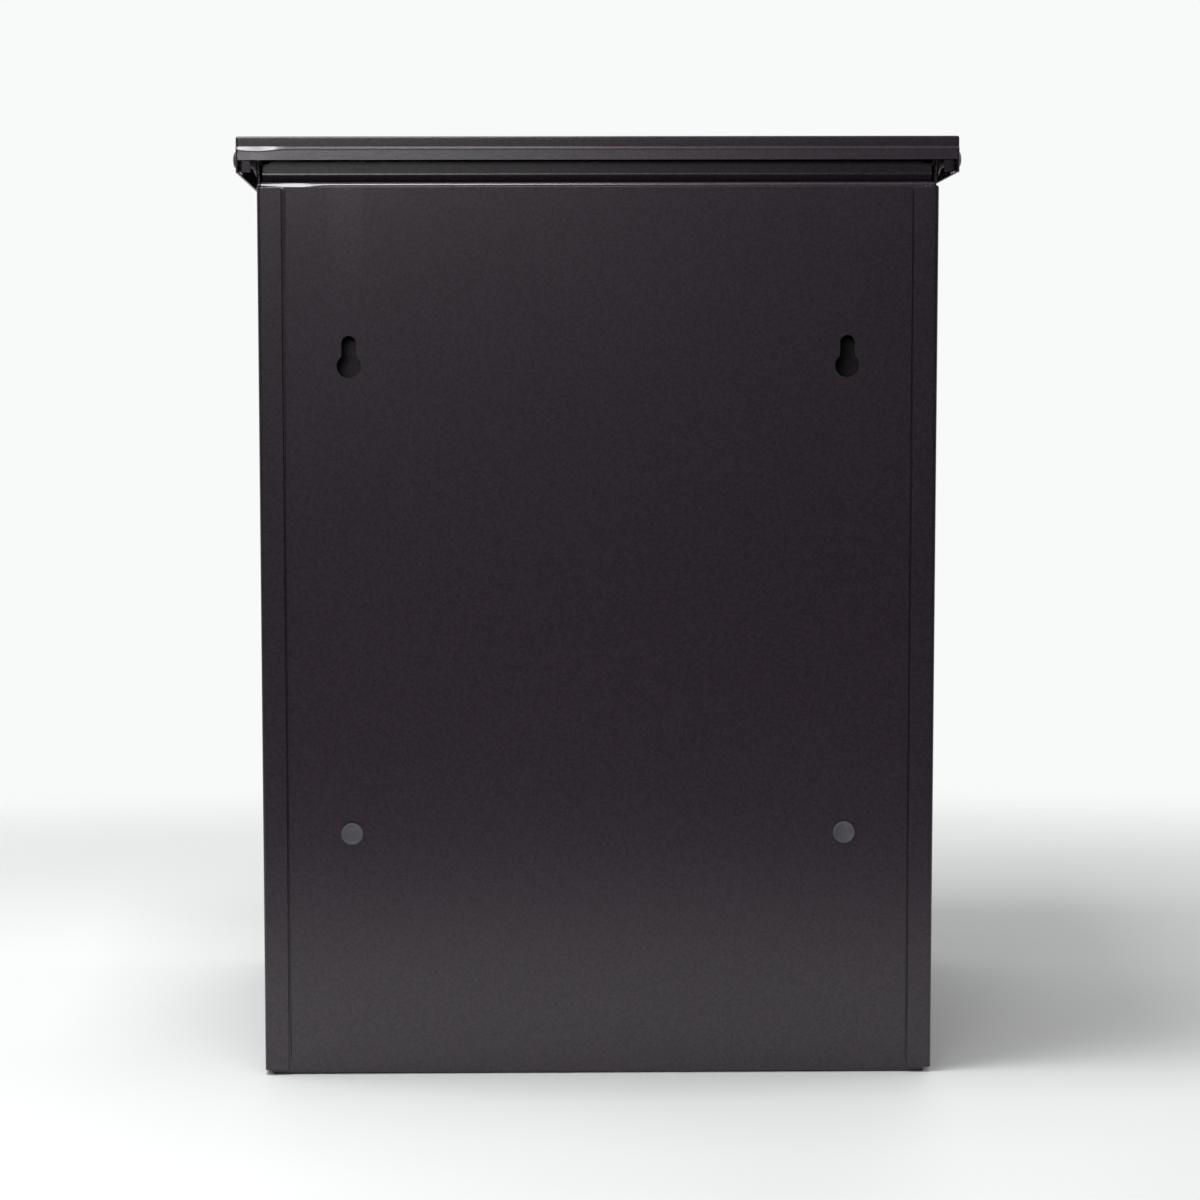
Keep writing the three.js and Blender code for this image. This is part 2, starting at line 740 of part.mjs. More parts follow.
function lockHousing() {
  const back = camY - frontY - fitGap;
  const face = fitGap + lockFaceThickness;
  const chamfer = 0.7;
  lockPlace(add('lock_housing', turnedRing([
    [lockBore, -face],
    [lockFace - chamfer, -face],
    [lockFace, -face + chamfer],
    [lockFace, -fitGap],
    [lockBarrel, -fitGap],
    [lockBarrel, back],
    [lockBore, back],
  ]), CHROME));
}

function lockNut() {
  const ring = new THREE.Shape();
  for (let k = 0; k < 6; k += 1) {
    const angle = (k * Math.PI) / 3;
    const corner = [lockNutRadius * Math.cos(angle), lockNutRadius * Math.sin(angle)];
    if (k === 0) {
      ring.moveTo(...corner);
    } else {
      ring.lineTo(...corner);
    }
  }
  ring.closePath();
  ring.holes.push(circle(lockBarrel + fitGap));
  const near = sheet + fitGap;
  lockPlace(add('lock_nut', alongY(ring, near, near + lockNutHeight), ZINC));
}

function lockPlug() {
  const recess = 0.3;
  const face = recess - fitGap - lockFaceThickness;
  const shoulder = camY - frontY - fitGap;
  const rotor = turned([
    [0, face],
    [lockRotor, face],
    [lockRotor, shoulder],
    [camStub, shoulder],
    [camStub, shoulder + camThickness + fitGap],
    [0, shoulder + camThickness + fitGap],
  ]);
  const slot = block(
    [-keyway.width / 2, face - BEYOND, -keyway.height / 2],
    [keyway.width / 2, face + keyway.depth, keyway.height / 2],
  );
  lockPlace(add('lock_plug', geometryOf(cut(solid(rotor), slot)), CHROME));
}

// Cam, drawn unlocked: it hangs down clear of the stop rail.
function lockCam() {
  const reach = stopEdgeX + camOverlap - lockX;
  const arm = reach - camRadius;
  const outline = new THREE.Shape();
  outline.absarc(0, 0, camRadius, 0, Math.PI, false);
  outline.absarc(0, -arm, camRadius, Math.PI, 2 * Math.PI, false);
  outline.closePath();
  outline.holes.push(circle(camStub + fitGap));
  const near = camY - frontY;
  lockPlace(add('lock_cam', alongY(outline, near, near + camThickness), ZINC));
}

function camScrewPart() {
  const near = camY - frontY + camThickness + fitGap;
  const chamfer = 1.2;
  lockPlace(add('cam_screw', turned([
    [0, near],
    [camScrew.radius, near],
    [camScrew.radius, near + camScrew.height / 2],
    [camScrew.radius - chamfer, near + camScrew.height],
    [0, near + camScrew.height],
  ]), ZINC));
}

// ---- assembly ----------------------------------------------------------------------------------
backPanel();
floorPan();
frontSill();
frontRail();
doorStop();
doorBuffer('top', doorTop - stopMargin - bufferHeight);
doorBuffer('bottom', doorBottom + stopMargin);
lidHood();
lidPull();
swingPlate();
studXs.forEach(plateStud);
for (const part of [sidePanel, holePlug, lidRest, pivotBracket, pivotRivet, pivotBush]) {
  SIDES.forEach(part);
}
doorPanel();
doorStiffener();
doorPinPart('top', railBottom, 1);
doorPinPart('bottom', sillHeight, -1);
doorWasher('top', doorTop + fitGap);
doorWasher('bottom', sillHeight + fitGap);
lockHousing();
lockNut();
lockPlug();
lockCam();
camScrewPart();

export default mailbox;
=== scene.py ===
"""Looks of the wall mounted parcel mailbox: folded sheet steel, powder coated, seen from its wall side.

Metres, +Z up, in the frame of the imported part: the door faces -Y and the wall side +Y. Sheet parts are
swept fold lines with rolled bends and a live wall; turned parts are spun; every place comes from the frame.
"""

import json
import math

import bmesh
import bpy
from mathutils import Matrix, Vector


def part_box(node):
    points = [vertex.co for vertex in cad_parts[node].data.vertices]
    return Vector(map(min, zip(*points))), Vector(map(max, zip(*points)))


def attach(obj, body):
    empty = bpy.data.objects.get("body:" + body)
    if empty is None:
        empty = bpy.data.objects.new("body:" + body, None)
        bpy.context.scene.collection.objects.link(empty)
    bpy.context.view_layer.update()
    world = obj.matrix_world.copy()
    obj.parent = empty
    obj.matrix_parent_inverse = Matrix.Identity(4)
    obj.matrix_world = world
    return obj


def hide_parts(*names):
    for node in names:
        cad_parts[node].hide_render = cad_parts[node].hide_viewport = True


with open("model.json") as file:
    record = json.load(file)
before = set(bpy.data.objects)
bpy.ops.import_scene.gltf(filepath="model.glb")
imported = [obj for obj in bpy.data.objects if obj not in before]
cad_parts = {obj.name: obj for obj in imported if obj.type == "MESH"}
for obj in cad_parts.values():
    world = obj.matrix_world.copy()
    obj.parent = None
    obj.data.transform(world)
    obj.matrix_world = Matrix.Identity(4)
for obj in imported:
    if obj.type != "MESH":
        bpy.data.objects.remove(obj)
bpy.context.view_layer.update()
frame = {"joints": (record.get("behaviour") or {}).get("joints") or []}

MM = 0.001
NEAR = 0.01 * MM             # places on one flat agree within this
TINY = 0.001 * MM            # points closer than this are one point
SIDES = {"left": -1, "right": 1}

# ---- sizes of the sheet and its folds ------------------------------------------------------------
SHEET = 1.2 * MM
BEND = 2.4 * MM              # outside radius of a fold
FOLD_STEPS = 8
COAT_EDGE = 0.28 * MM        # powder coat rounds a cut edge by this
GAP = 0.3 * MM               # left between neighbouring pieces
UNDER_FOLD = 20 * MM         # the back panel's fold under the floor
NECK_RISE = 9.8 * MM         # ledge to the top of the neck
CORNER_RELIEF = 4.6 * MM     # the under fold is cut back by this at the sides
NECK_HOLLOW = 4.5 * MM       # the neck runs into the ledge in a wide hollow
REAR_FLANGE = 14.5 * MM      # side sheet's fold over the back panel
GROOVE = 0.9 * MM            # open joint between the wall flange and the panel
GROOVE_DEPTH = 1.4 * MM
GROOVE_UNDER = MM            # it runs on under the flange by this
GROOVE_SLANT = 0.3 * MM      # width of each of its sloping walls

# ---- wall fixings --------------------------------------------------------------------------------
SLOT_DROP = 95.9 * MM        # ledge down to the narrow end of a keyhole
KEYHOLE_HEAD = 7.3 * MM      # radius of the round part
KEYHOLE_SLOT = 4.4 * MM      # half width of the slot
KEYHOLE_TRAVEL = 14 * MM     # round part's centre up to the slot's
PLUG_HOLE = 5 * MM           # radius
HOLE_STEPS = 40              # facets round a hole

# ---- lid -----------------------------------------------------------------------------------------
SLOPE = math.radians(6.4)
LID_BEND = 1.4 * MM          # the lid is folded over a sharper tool
ROLLED_AWAY = 0.14 * MM      # the rolled rear edge stands this far under the corner of its flats
SKIRT_DROP = 21.6 * MM       # lid top to the lower edge of the side and front skirts
REAR_SKIRT_DROP = 14 * MM    # and of the rear skirt
JOG = 2 * MM                 # the lower part of the rear skirt stands out by this
JOG_DROP = 6.8 * MM          # lid top to the middle of the jog
JOG_ROLL = 0.5 * MM          # radius of its two bends
SKIRT_FLARE = 0.3 * MM       # the rear skirt's lower edge leans out by this
LID_CLEARANCE = 5 * MM       # lid's underside to the sloping top of the sides
EAR = 8.5 * MM               # radius of the side's ear round the pivot
RIVET_HOLE = 2.8 * MM        # radius

# ---- door and lock -------------------------------------------------------------------------------
DOOR_RETURN = 14 * MM        # depth of the sill's and the rail's folds beside the door
HINGE_BEND = 8 * MM          # the door's hinge edge is rolled round the pins
PIN_HOLE = 2.9 * MM          # radius
BARREL_HOLE = 8.3 * MM       # radius of the lock's hole
FACE_STEPS = 56              # facets round a turned part

joints = {joint["name"]: joint for joint in frame["joints"]}
pivot = Vector(joints["lid_pivot"]["pos_m"])
hinge = Vector(joints["door_hinge"]["pos_m"])
lock_axis = Vector(joints["lock_turn"]["pos_m"])


def middle(node):
    """Centre of a node's box."""
    low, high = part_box(node)
    return (low + high) / 2


hood_low, hood_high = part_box("lid_hood")
hood_rear_upper = hood_high.y - JOG
lid_top_rear = hood_high.z + ROLLED_AWAY


def lid_top(y):
    """Height of the lid's top face, which falls towards the door."""
    return lid_top_rear - math.tan(SLOPE) * (hood_rear_upper - y)


def lid_under(y):
    """Height of the lid's underside."""
    return lid_top(y) - SHEET / math.cos(SLOPE)


# ---- material nodes ------------------------------------------------------------------------------
def linear(hex_colour):
    """sRGB hex such as "37333A" as the linear RGBA that sockets take."""
    values = [int(hex_colour[i:i + 2], 16) / 255 for i in (0, 2, 4)]
    return [v / 12.92 if v <= 0.04045 else ((v + 0.055) / 1.055) ** 2.4 for v in values] + [1.0]


def add_node(tree, kind, inputs=None, **settings):
    """A shader node; each input is given a value or the socket that feeds it."""
    node = tree.nodes.new("ShaderNode" + kind)
    for name, value in settings.items():
        setattr(node, name, value)
    for name, value in (inputs or {}).items():
        if isinstance(value, bpy.types.NodeSocket):
            tree.links.new(value, node.inputs[name])
        else:
            node.inputs[name].default_value = value
    return node


def per_metre(size_mm):
    """Scale of a pattern whose features are this wide."""
    return 1000 / size_mm


def new_material(name):
    """Empty material, its node tree and the place on the piece that its patterns read."""
    material = bpy.data.materials.new(name)
    material.use_nodes = True
    tree = material.node_tree
    tree.nodes.clear()
    place = add_node(tree, "TexCoord").outputs["Object"]
    return material, tree, place


def shade(tree, **inputs):
    """Ends a tree with a Principled surface; a space in an input's name is written as _."""
    surface = add_node(tree, "BsdfPrincipled", {k.replace("_", " "): v for k, v in inputs.items()})
    add_node(tree, "OutputMaterial", {"Surface": surface.outputs["BSDF"]})


def ramp(tree, factor, low, high, low_at=0.0, high_at=1.0):
    """Blend between two hex colours as factor goes from low_at to high_at."""
    node = add_node(tree, "ValToRGB", {"Fac": factor})
    first, last = node.color_ramp.elements
    first.position, first.color = low_at, linear(low)
    last.position, last.color = high_at, linear(high)
    return node.outputs["Color"]


def span(tree, value, low, high, from_low=0.3, from_high=0.7):
    """Value between from_low and from_high, spread over low to high."""
    inputs = {"Value": value, "From Min": from_low, "From Max": from_high, "To Min": low, "To Max": high}
    return add_node(tree, "MapRange", inputs).outputs["Result"]


def noise(tree, place, size_mm, detail=2.0, roughness=0.5):
    """Cloudy pattern whose patches are about this wide."""
    inputs = {"Vector": place, "Scale": per_metre(size_mm), "Detail": detail, "Roughness": roughness}
    return add_node(tree, "TexNoise", inputs).outputs["Fac"]


def bump(tree, height, strength, depth_mm):
    """Relief of a pattern, as the surface's normal."""
    inputs = {"Height": height, "Strength": strength, "Distance": depth_mm * MM}
    return add_node(tree, "Bump", inputs).outputs["Normal"]


def powder_coat():
    """Charcoal polyester powder coat, cured to a fine texture: dark, faintly violet, with a soft sheen
    that breaks up over the grain."""
    material, tree, place = new_material("charcoal_powder_coat")
    # Real grain is 0.3 to 0.6 mm. It is drawn at 1.5 mm so that it shows.
    grain = noise(tree, place, 1.5, detail=3.0, roughness=0.6)
    flow = noise(tree, place, 7)
    film = noise(tree, place, 90, detail=1.0)
    swell = add_node(tree, "Bump", {"Height": flow, "Strength": 0.3, "Distance": 0.08 * MM})
    pits = add_node(tree, "Bump", {"Height": grain, "Strength": 0.4, "Distance": 0.05 * MM,
                                   "Normal": swell.outputs["Normal"]})
    shade(
        tree,
        Base_Color=ramp(tree, grain, "2D252D", "3B323B", 0.35, 0.65),
        Roughness=span(tree, film, 0.26, 0.27),
        Normal=pits.outputs["Normal"],
    )
    return material


def plug_polyethylene():
    """Dark grey moulded polyethylene: waxy, matt, a little lighter than the coat."""
    material, tree, place = new_material("grey_polyethylene")
    grain = noise(tree, place, 0.8)
    cloud = noise(tree, place, 6)
    shade(
        tree,
        Base_Color=ramp(tree, cloud, "514F55", "5C5A61", 0.35, 0.65),
        Roughness=span(tree, grain, 0.50, 0.60),
        Normal=bump(tree, grain, 0.3, 0.03),
    )
    return material


def bright_zinc():
    """Bright zinc plate on pressed steel: cool grey, softly mirrored, with a cloudy passivated film."""
    material, tree, place = new_material("bright_zinc_plate")
    cloud = noise(tree, place, 5, detail=4.0)
    grain = noise(tree, place, 0.5)
    shade(
        tree,
        Base_Color=ramp(tree, cloud, "A3A7AE", "C4C2B9", 0.35, 0.65),
        Metallic=1.0,
        Roughness=span(tree, cloud, 0.26, 0.40),
        Normal=bump(tree, grain, 0.2, 0.02),
    )
    return material


def polished_chrome():
    """Polished chrome plate on a die cast lock: nearly a mirror, with fine wipe marks."""
    material, tree, place = new_material("polished_chrome_plate")
    stretch = add_node(tree, "Mapping", {"Vector": place, "Scale": (1.0, 1.0, 9.0)}).outputs["Vector"]
    wipes = noise(tree, stretch, 1.2, detail=3.0)
    shade(
        tree,
        Base_Color=ramp(tree, wipes, "D2D4D7", "E0E1E2", 0.3, 0.7),
        Metallic=1.0,
        Roughness=span(tree, wipes, 0.07, 0.14),
    )
    return material


def moulded_rubber():
    """Black moulded rubber: matt, with a dusty bloom."""
    material, tree, place = new_material("black_moulded_rubber")
    bloom = noise(tree, place, 4, detail=3.0)
    grain = noise(tree, place, 0.6)
    shade(
        tree,
        Base_Color=ramp(tree, bloom, "1B1B1D", "29292B", 0.35, 0.7),
        Roughness=span(tree, bloom, 0.72, 0.88),
        Normal=bump(tree, grain, 0.4, 0.04),
    )
    return material


def moulded_nylon():
    """Black glass filled nylon: satin, finely mottled by the mould."""
    material, tree, place = new_material("black_moulded_nylon")
    grain = noise(tree, place, 0.9, detail=3.0)
    shade(
        tree,
        Base_Color=ramp(tree, grain, "1E1D20", "29282B", 0.35, 0.65),
        Roughness=span(tree, grain, 0.46, 0.58),
        Normal=bump(tree, grain, 0.3, 0.04),
    )
    return material


def painted_floor():
    """Pale matt studio floor: even, faintly uneven in tone. It fades out beyond the lit part, so that no
    horizon shows."""
    material, tree, place = new_material("pale_studio_floor")
    cloud = noise(tree, place, 400)
    paint = add_node(tree, "BsdfPrincipled", {
        "Base Color": ramp(tree, cloud, "E9EBEB", "EEEFEF", 0.3, 0.7),
        "Roughness": span(tree, cloud, 0.55, 0.65),
    })
    oval = add_node(tree, "Mapping", {"Vector": place, "Scale": (0.55, 1.0, 1.0)}).outputs["Vector"]
    away = add_node(tree, "VectorMath", {0: oval}, operation="LENGTH").outputs["Value"]
    fade = add_node(tree, "MapRange", {"Value": away, "From Min": FLOOR_SOLID, "From Max": FLOOR_GONE},
                    interpolation_type="SMOOTHSTEP").outputs["Result"]
    clear = add_node(tree, "BsdfTransparent")
    mixed = add_node(tree, "MixShader", {0: fade, 1: paint.outputs[0], 2: clear.outputs[0]})
    add_node(tree, "OutputMaterial", {"Surface": mixed.outputs[0]})
    return material


FINISH = {
    "coat": powder_coat(),
    "plug": plug_polyethylene(),
    "zinc": bright_zinc(),
    "chrome": polished_chrome(),
    "rubber": moulded_rubber(),
    "nylon": moulded_nylon(),
}


# ---- modelling helpers ---------------------------------------------------------------------------
def spot(axis, along, a, b):
    """Point whose place on one axis is `along`; a and b are its places on the other two, in order."""
    values = [a, b]
    values.insert(axis, along)
    return Vector(values)


def arc(centre, radius, start, end, steps):
    """Flat points round a centre, with both ends; angles in degrees."""
    turns = [math.radians(start + (end - start) * k / steps) for k in range(steps + 1)]
    return [(centre[0] + radius * math.cos(t), centre[1] + radius * math.sin(t)) for t in turns]


def loop_edges(bm, points):
    """Closed loop of edges through points."""
    corners = [bm.verts.new(point) for point in points]
    return [bm.edges.new((corner, corners[i - 1])) for i, corner in enumerate(corners)]


def face_towards(bm, faces, direction):
    """Turns faces over if the first of them looks away from direction."""
    bm.normal_update()
    if faces[0].normal.dot(direction) < 0:
        bmesh.ops.reverse_faces(bm, faces=faces)
    bm.normal_update()


def swept(corners, axis, low, high):
    """Open strip of sheet: a fold line of flat points swept along an axis. Its outside is on the right
    of the way the line runs."""
    bm = bmesh.new()
    points = [bm.verts.new(spot(axis, low, a, b)) for a, b in corners]
    edges = [bm.edges.new(pair) for pair in zip(points, points[1:])]
    moved = bmesh.ops.extrude_edge_only(bm, edges=edges)["geom"]
    far = [v for v in moved if isinstance(v, bmesh.types.BMVert)]
    bmesh.ops.translate(bm, verts=far, vec=spot(axis, high - low, 0, 0))
    run = Vector(corners[1]) - Vector(corners[0])
    bm.normal_update()
    if points[0].link_faces[0].normal.dot(spot(axis, 0, run.y, -run.x)) < 0:
        bmesh.ops.reverse_faces(bm, faces=bm.faces[:])
        bm.normal_update()
    return bm


def sharp_edges(bm, degrees=25.0):
    """Edges between two faces that meet at more than this angle."""
    limit = math.radians(degrees)
    return [e for e in bm.edges if len(e.link_faces) == 2 and e.calc_face_angle() > limit]


def level_edge(edge):
    return abs(edge.verts[0].co.z - edge.verts[1].co.z) < TINY


def roll(bm, edges, radius, steps=FOLD_STEPS):
    """Rounds edges to a radius."""
    bmesh.ops.bevel(bm, geom=edges, offset=radius, offset_type="OFFSET", segments=steps, profile=0.5,
                    affect="EDGES", clamp_overlap=False, material=-1)
    bm.normal_update()


def fold_all(bm, outside=BEND, hollow=BEND - SHEET):
    """Rolls every sharp fold: to `outside` where it stands out, to `hollow` where it turns in."""
    outward = [e for e in sharp_edges(bm) if e.is_convex]
    if outward:
        roll(bm, outward, outside)
    inward = [e for e in sharp_edges(bm) if not e.is_convex]
    if inward:
        roll(bm, inward, hollow)


def slice_at(bm, axis, value, faces=None):
    """Cuts faces, or the whole mesh, along a plane square to an axis."""
    geom = {}
    for face in bm.faces[:] if faces is None else faces:
        geom.update(dict.fromkeys([face, *face.edges, *face.verts]))
    bmesh.ops.bisect_plane(bm, geom=list(geom), dist=TINY / 10, plane_co=spot(axis, value, 0, 0),
                           plane_no=spot(axis, 1, 0, 0))
    bm.normal_update()


def drop_faces(bm, test):
    """Removes the faces whose middle passes the test."""
    gone = [f for f in bm.faces if test(f.calc_center_median())]
    bmesh.ops.delete(bm, geom=gone, context="FACES")


def open_hole(bm, outline, axis, margin=2.5 * MM):
    """Cuts a closed outline out of the flat face that it lies on; axis is the one square to the face."""
    points = [Vector(p) for p in outline]
    level = points[0][axis]
    flat_axes = [k for k in range(3) if k != axis]
    for k in flat_axes:
        for value in (min(p[k] for p in points) - margin, max(p[k] for p in points) + margin):
            flat = [f for f in bm.faces if abs(f.normal[axis]) > 0.999
                    and abs(f.calc_center_median()[axis] - level) < NEAR]
            slice_at(bm, k, value, flat)
    centre = Vector([(min(p[k] for p in points) + max(p[k] for p in points)) / 2 for k in range(3)])
    patch = min(bm.faces, key=lambda f: (f.calc_center_median() - centre).length)
    outward = patch.normal.copy()
    square = patch.edges[:]
    bmesh.ops.delete(bm, geom=[patch], context="FACES_ONLY")
    rim = loop_edges(bm, points)
    made = bmesh.ops.triangle_fill(bm, use_beauty=True, use_dissolve=False, edges=square + rim)["geom"]
    for face in made:
        if isinstance(face, bmesh.types.BMFace):
            face_towards(bm, [face], outward)


def circle_at(axis, centre, radius, steps=HOLE_STEPS):
    """Points of a circle about `centre`, square to an axis."""
    a, b = [k for k in range(3) if k != axis]
    return [spot(axis, centre[axis], u, v)
            for u, v in arc((centre[a], centre[b]), radius, 0, 360, steps)[:-1]]


def finish_piece(name, bm, body, slot, nodes=(), wall=0.0, edge=0.0, edge_angle=50.0):
    """Makes the object. `wall` thickens an open sheet inwards, `edge` rounds what is still sharp."""
    mesh = bpy.data.meshes.new(name)
    bm.to_mesh(mesh)
    bm.free()
    mesh.shade_smooth()
    mesh.materials.append(FINISH[slot])
    piece = bpy.data.objects.new(name, mesh)
    bpy.context.scene.collection.objects.link(piece)
    if wall:
        sheet = piece.modifiers.new("sheet", "SOLIDIFY")
        sheet.thickness = wall
        sheet.offset = -1
        sheet.use_even_offset = True
    if edge:
        rounding = piece.modifiers.new("coat_edge", "BEVEL")
        rounding.width = edge
        rounding.segments = 2
        rounding.limit_method = "ANGLE"
        rounding.angle_limit = math.radians(edge_angle)
        rounding.use_clamp_overlap = True
    flats = piece.modifiers.new("flat_faces", "WEIGHTED_NORMAL")
    flats.weight = 90
    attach(piece, body)
    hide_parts(*nodes)
    return piece


def sheet_piece(name, bm, body, nodes):
    """Folded sheet with its wall on the inside and its cut edges rounded by the coat."""
    return finish_piece(name, bm, body, "coat", nodes, wall=SHEET, edge=COAT_EDGE)


def box_mesh(low, high):
    """Block between two corners."""
    bm = bmesh.new()
    bmesh.ops.create_cube(bm, size=1)
    bmesh.ops.scale(bm, verts=bm.verts, vec=high - low)
    bmesh.ops.translate(bm, verts=bm.verts, vec=(low + high) / 2)
    return bm


def turned(profile, axis, centre, closed=False, steps=FACE_STEPS):
    """Body spun about an axis through `centre`, from (radius, along) points."""
    bm = bmesh.new()
    side = (axis + 1) % 3
    points = []
    for radius, along in profile:
        point = Vector(centre)
        point[axis] += along
        point[side] += radius
        points.append(bm.verts.new(point))
    pairs = list(zip(points, points[1:])) + ([(points[-1], points[0])] if closed else [])
    edges = [bm.edges.new(pair) for pair in pairs]
    bmesh.ops.spin(bm, geom=points + edges, cent=Vector(centre), axis=spot(axis, 1, 0, 0),
                   angle=2 * math.pi, steps=steps, use_merge=True, use_duplicate=False)
    bmesh.ops.remove_doubles(bm, verts=bm.verts[:], dist=TINY)
    bmesh.ops.recalc_face_normals(bm, faces=bm.faces[:])
    return bm


def plate_between(outline, hole, axis, low, high):
    """Flat plate of an outline with one hole, from low to high along the axis square to it."""
    bm = bmesh.new()
    outer = loop_edges(bm, [spot(axis, low, *p) for p in outline])
    inner = loop_edges(bm, [spot(axis, low, *p) for p in hole])
    bmesh.ops.bridge_loops(bm, edges=outer + inner)
    raised = bmesh.ops.extrude_face_region(bm, geom=bm.faces[:])["geom"]
    top = [v for v in raised if isinstance(v, bmesh.types.BMVert)]
    bmesh.ops.translate(bm, verts=top, vec=spot(axis, high - low, 0, 0))
    bmesh.ops.recalc_face_normals(bm, faces=bm.faces[:])
    return bm


def merged(bm, other):
    """Adds the second mesh to the first."""
    spare = bpy.data.meshes.new("spare")
    other.to_mesh(spare)
    other.free()
    bm.from_mesh(spare)
    bpy.data.meshes.remove(spare)
    return bm


# ---- case ----------------------------------------------------------------------------------------
panel_low, panel_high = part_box("back_panel")
panel_face = panel_high.y
neck_face = panel_low.y + SHEET
ledge_z = panel_high.z - NECK_RISE
case_low, case_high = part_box("side_panel_right")
case_half = case_high.x
wall_face = case_high.y
door_face = case_low.y
flange_top = ledge_z - BEND


def keyhole(x):
    """Outline of a keyhole in the back panel: round head below, slot above."""
    slot_z = ledge_z - SLOT_DROP
    head_z = slot_z - KEYHOLE_TRAVEL
    meet = math.degrees(math.acos(KEYHOLE_SLOT / KEYHOLE_HEAD))
    head = arc((x, head_z), KEYHOLE_HEAD, 180 - meet, 360 + meet, HOLE_STEPS)
    slot = arc((x, slot_z), KEYHOLE_SLOT, 0, 180, HOLE_STEPS // 2)
    return [Vector((u, panel_face, v)) for u, v in head + slot]


def hump(value, start, peak, end):
    """0 at start and end, 1 at peak, smooth between."""
    rise = (value - start) / (peak - start) if value < peak else (end - value) / (end - peak)
    share = min(1.0, max(0.0, rise))
    return share * share * (3 - 2 * share)


def press_ledge_end(bm):
    """The brake crushed the ledge's fold near one end: there it is a flat facet, not a round."""
    start, peak, end = 160 * MM, 180 * MM, 214 * MM
    cuts, step = 12, 3.5 * MM
    for k in range(cuts):
        slice_at(bm, 0, start + k * step, [f for f in bm.faces if f.calc_center_median().z > flange_top])
    for vert in bm.verts:
        out = vert.co.y - (panel_face - BEND)
        up = vert.co.z - flange_top
        if out > TINY and up > TINY and vert.co.x > start:
            crush = hump(vert.co.x, start, peak, end) * (out + up - BEND) / 2
            vert.co.y -= crush
            vert.co.z -= crush
    bm.normal_update()


def press_jog_end(bm, low_edge, rear):
    """The lid's jog was crushed at the same end: its slope is deeper there."""
    start, peak, end = 186 * MM, 205 * MM, 222 * MM
    cuts, step = 8, 3.7 * MM
    reach = 0.8 * MM
    deeper = 1.2 * MM
    for k in range(cuts):
        slice_at(bm, 0, start + k * step, [f for f in bm.faces if f.calc_center_median().y > rear])
    for vert in bm.verts:
        if vert.co.y > rear and abs(vert.co.z - low_edge) < reach:
            vert.co.z -= deeper * hump(vert.co.x, start, peak, end)
    bm.normal_update()


def between(value, low, high):
    """Whether a value lies between two others, ends included."""
    return low - TINY < value < high + TINY


def cut_groove(bm, sign):
    """Groove in the panel along the flange's edge. On one side it opens towards its ends."""
    edge = case_half - REAR_FLANGE
    top = flange_top - 1.5 * MM
    bottom = case_low.z + 6 * MM
    cuts = 16
    opening_top, opening_bottom = 1.5 * MM, 0.4 * MM
    wall = panel_face - NEAR
    lines = [edge - GROOVE - GROOVE_SLANT, edge - GROOVE, edge + GROOVE_UNDER,
             edge + GROOVE_UNDER + GROOVE_SLANT]
    for x in lines:
        slice_at(bm, 0, sign * x, [f for f in bm.faces if f.calc_center_median().y > wall])
    for k in range(cuts + 1):
        middles = [(f, f.calc_center_median()) for f in bm.faces]
        strip = [f for f, place in middles if place.y > wall and lines[0] < sign * place.x < lines[3]]
        slice_at(bm, 2, bottom + (top - bottom) * k / cuts, strip)
    waist = (top + bottom) / 2
    for vert in bm.verts:
        x = sign * vert.co.x
        z = vert.co.z
        if vert.co.y < wall or not between(z, bottom, top) or not between(x, lines[0], lines[3]):
            continue
        if between(x, lines[1], lines[2]) and bottom + TINY < z < top - TINY:
            vert.co.y -= GROOVE_DEPTH
        if x < edge and sign > 0:
            spread = (z - waist) / (top - waist)
            vert.co.x -= (opening_top if spread > 0 else opening_bottom) * spread * spread
    bm.normal_update()


def build_back_panel():
    """Back panel: fold under the floor, wall face with its four fixings, ledge and neck."""
    line = [(panel_face - UNDER_FOLD, 0), (panel_face, 0), (panel_face, ledge_z), (neck_face, ledge_z),
            (neck_face, panel_high.z)]
    bm = swept(line, 0, panel_low.x, panel_high.x)
    fold_all(bm, hollow=NECK_HOLLOW)
    press_ledge_end(bm)
    for sign in SIDES.values():
        cut_groove(bm, sign)
    relief_z = case_low.z + GAP
    relief_x = case_half - CORNER_RELIEF
    slice_at(bm, 2, relief_z)
    for sign in SIDES.values():
        slice_at(bm, 0, sign * relief_x)
    drop_faces(bm, lambda c: abs(c.x) > relief_x and c.z < relief_z)
    for side in SIDES:
        centre = middle(f"hole_plug_{side}")
        open_hole(bm, keyhole(centre.x), 1)
        open_hole(bm, circle_at(1, Vector((centre.x, panel_face, centre.z)), PLUG_HOLE), 1)
    return sheet_piece("rear_panel", bm, "case", ["back_panel"])


def side_outline():
    """Side view of the case: straight to the flange's top, notch, ear round the pivot, slope."""
    notch_y = pivot.y - MM
    lean = math.degrees(math.acos(MM / EAR))
    ear = arc((pivot.y, pivot.z), EAR, lean - 180, 180 - lean, 24)
    slope_rear = lid_under(notch_y) - LID_CLEARANCE
    slope_front = lid_under(door_face) - LID_CLEARANCE
    return [(door_face, case_low.z), (wall_face, case_low.z), (wall_face, flange_top),
            (notch_y, flange_top), *ear, (notch_y, slope_rear), (door_face, slope_front)]


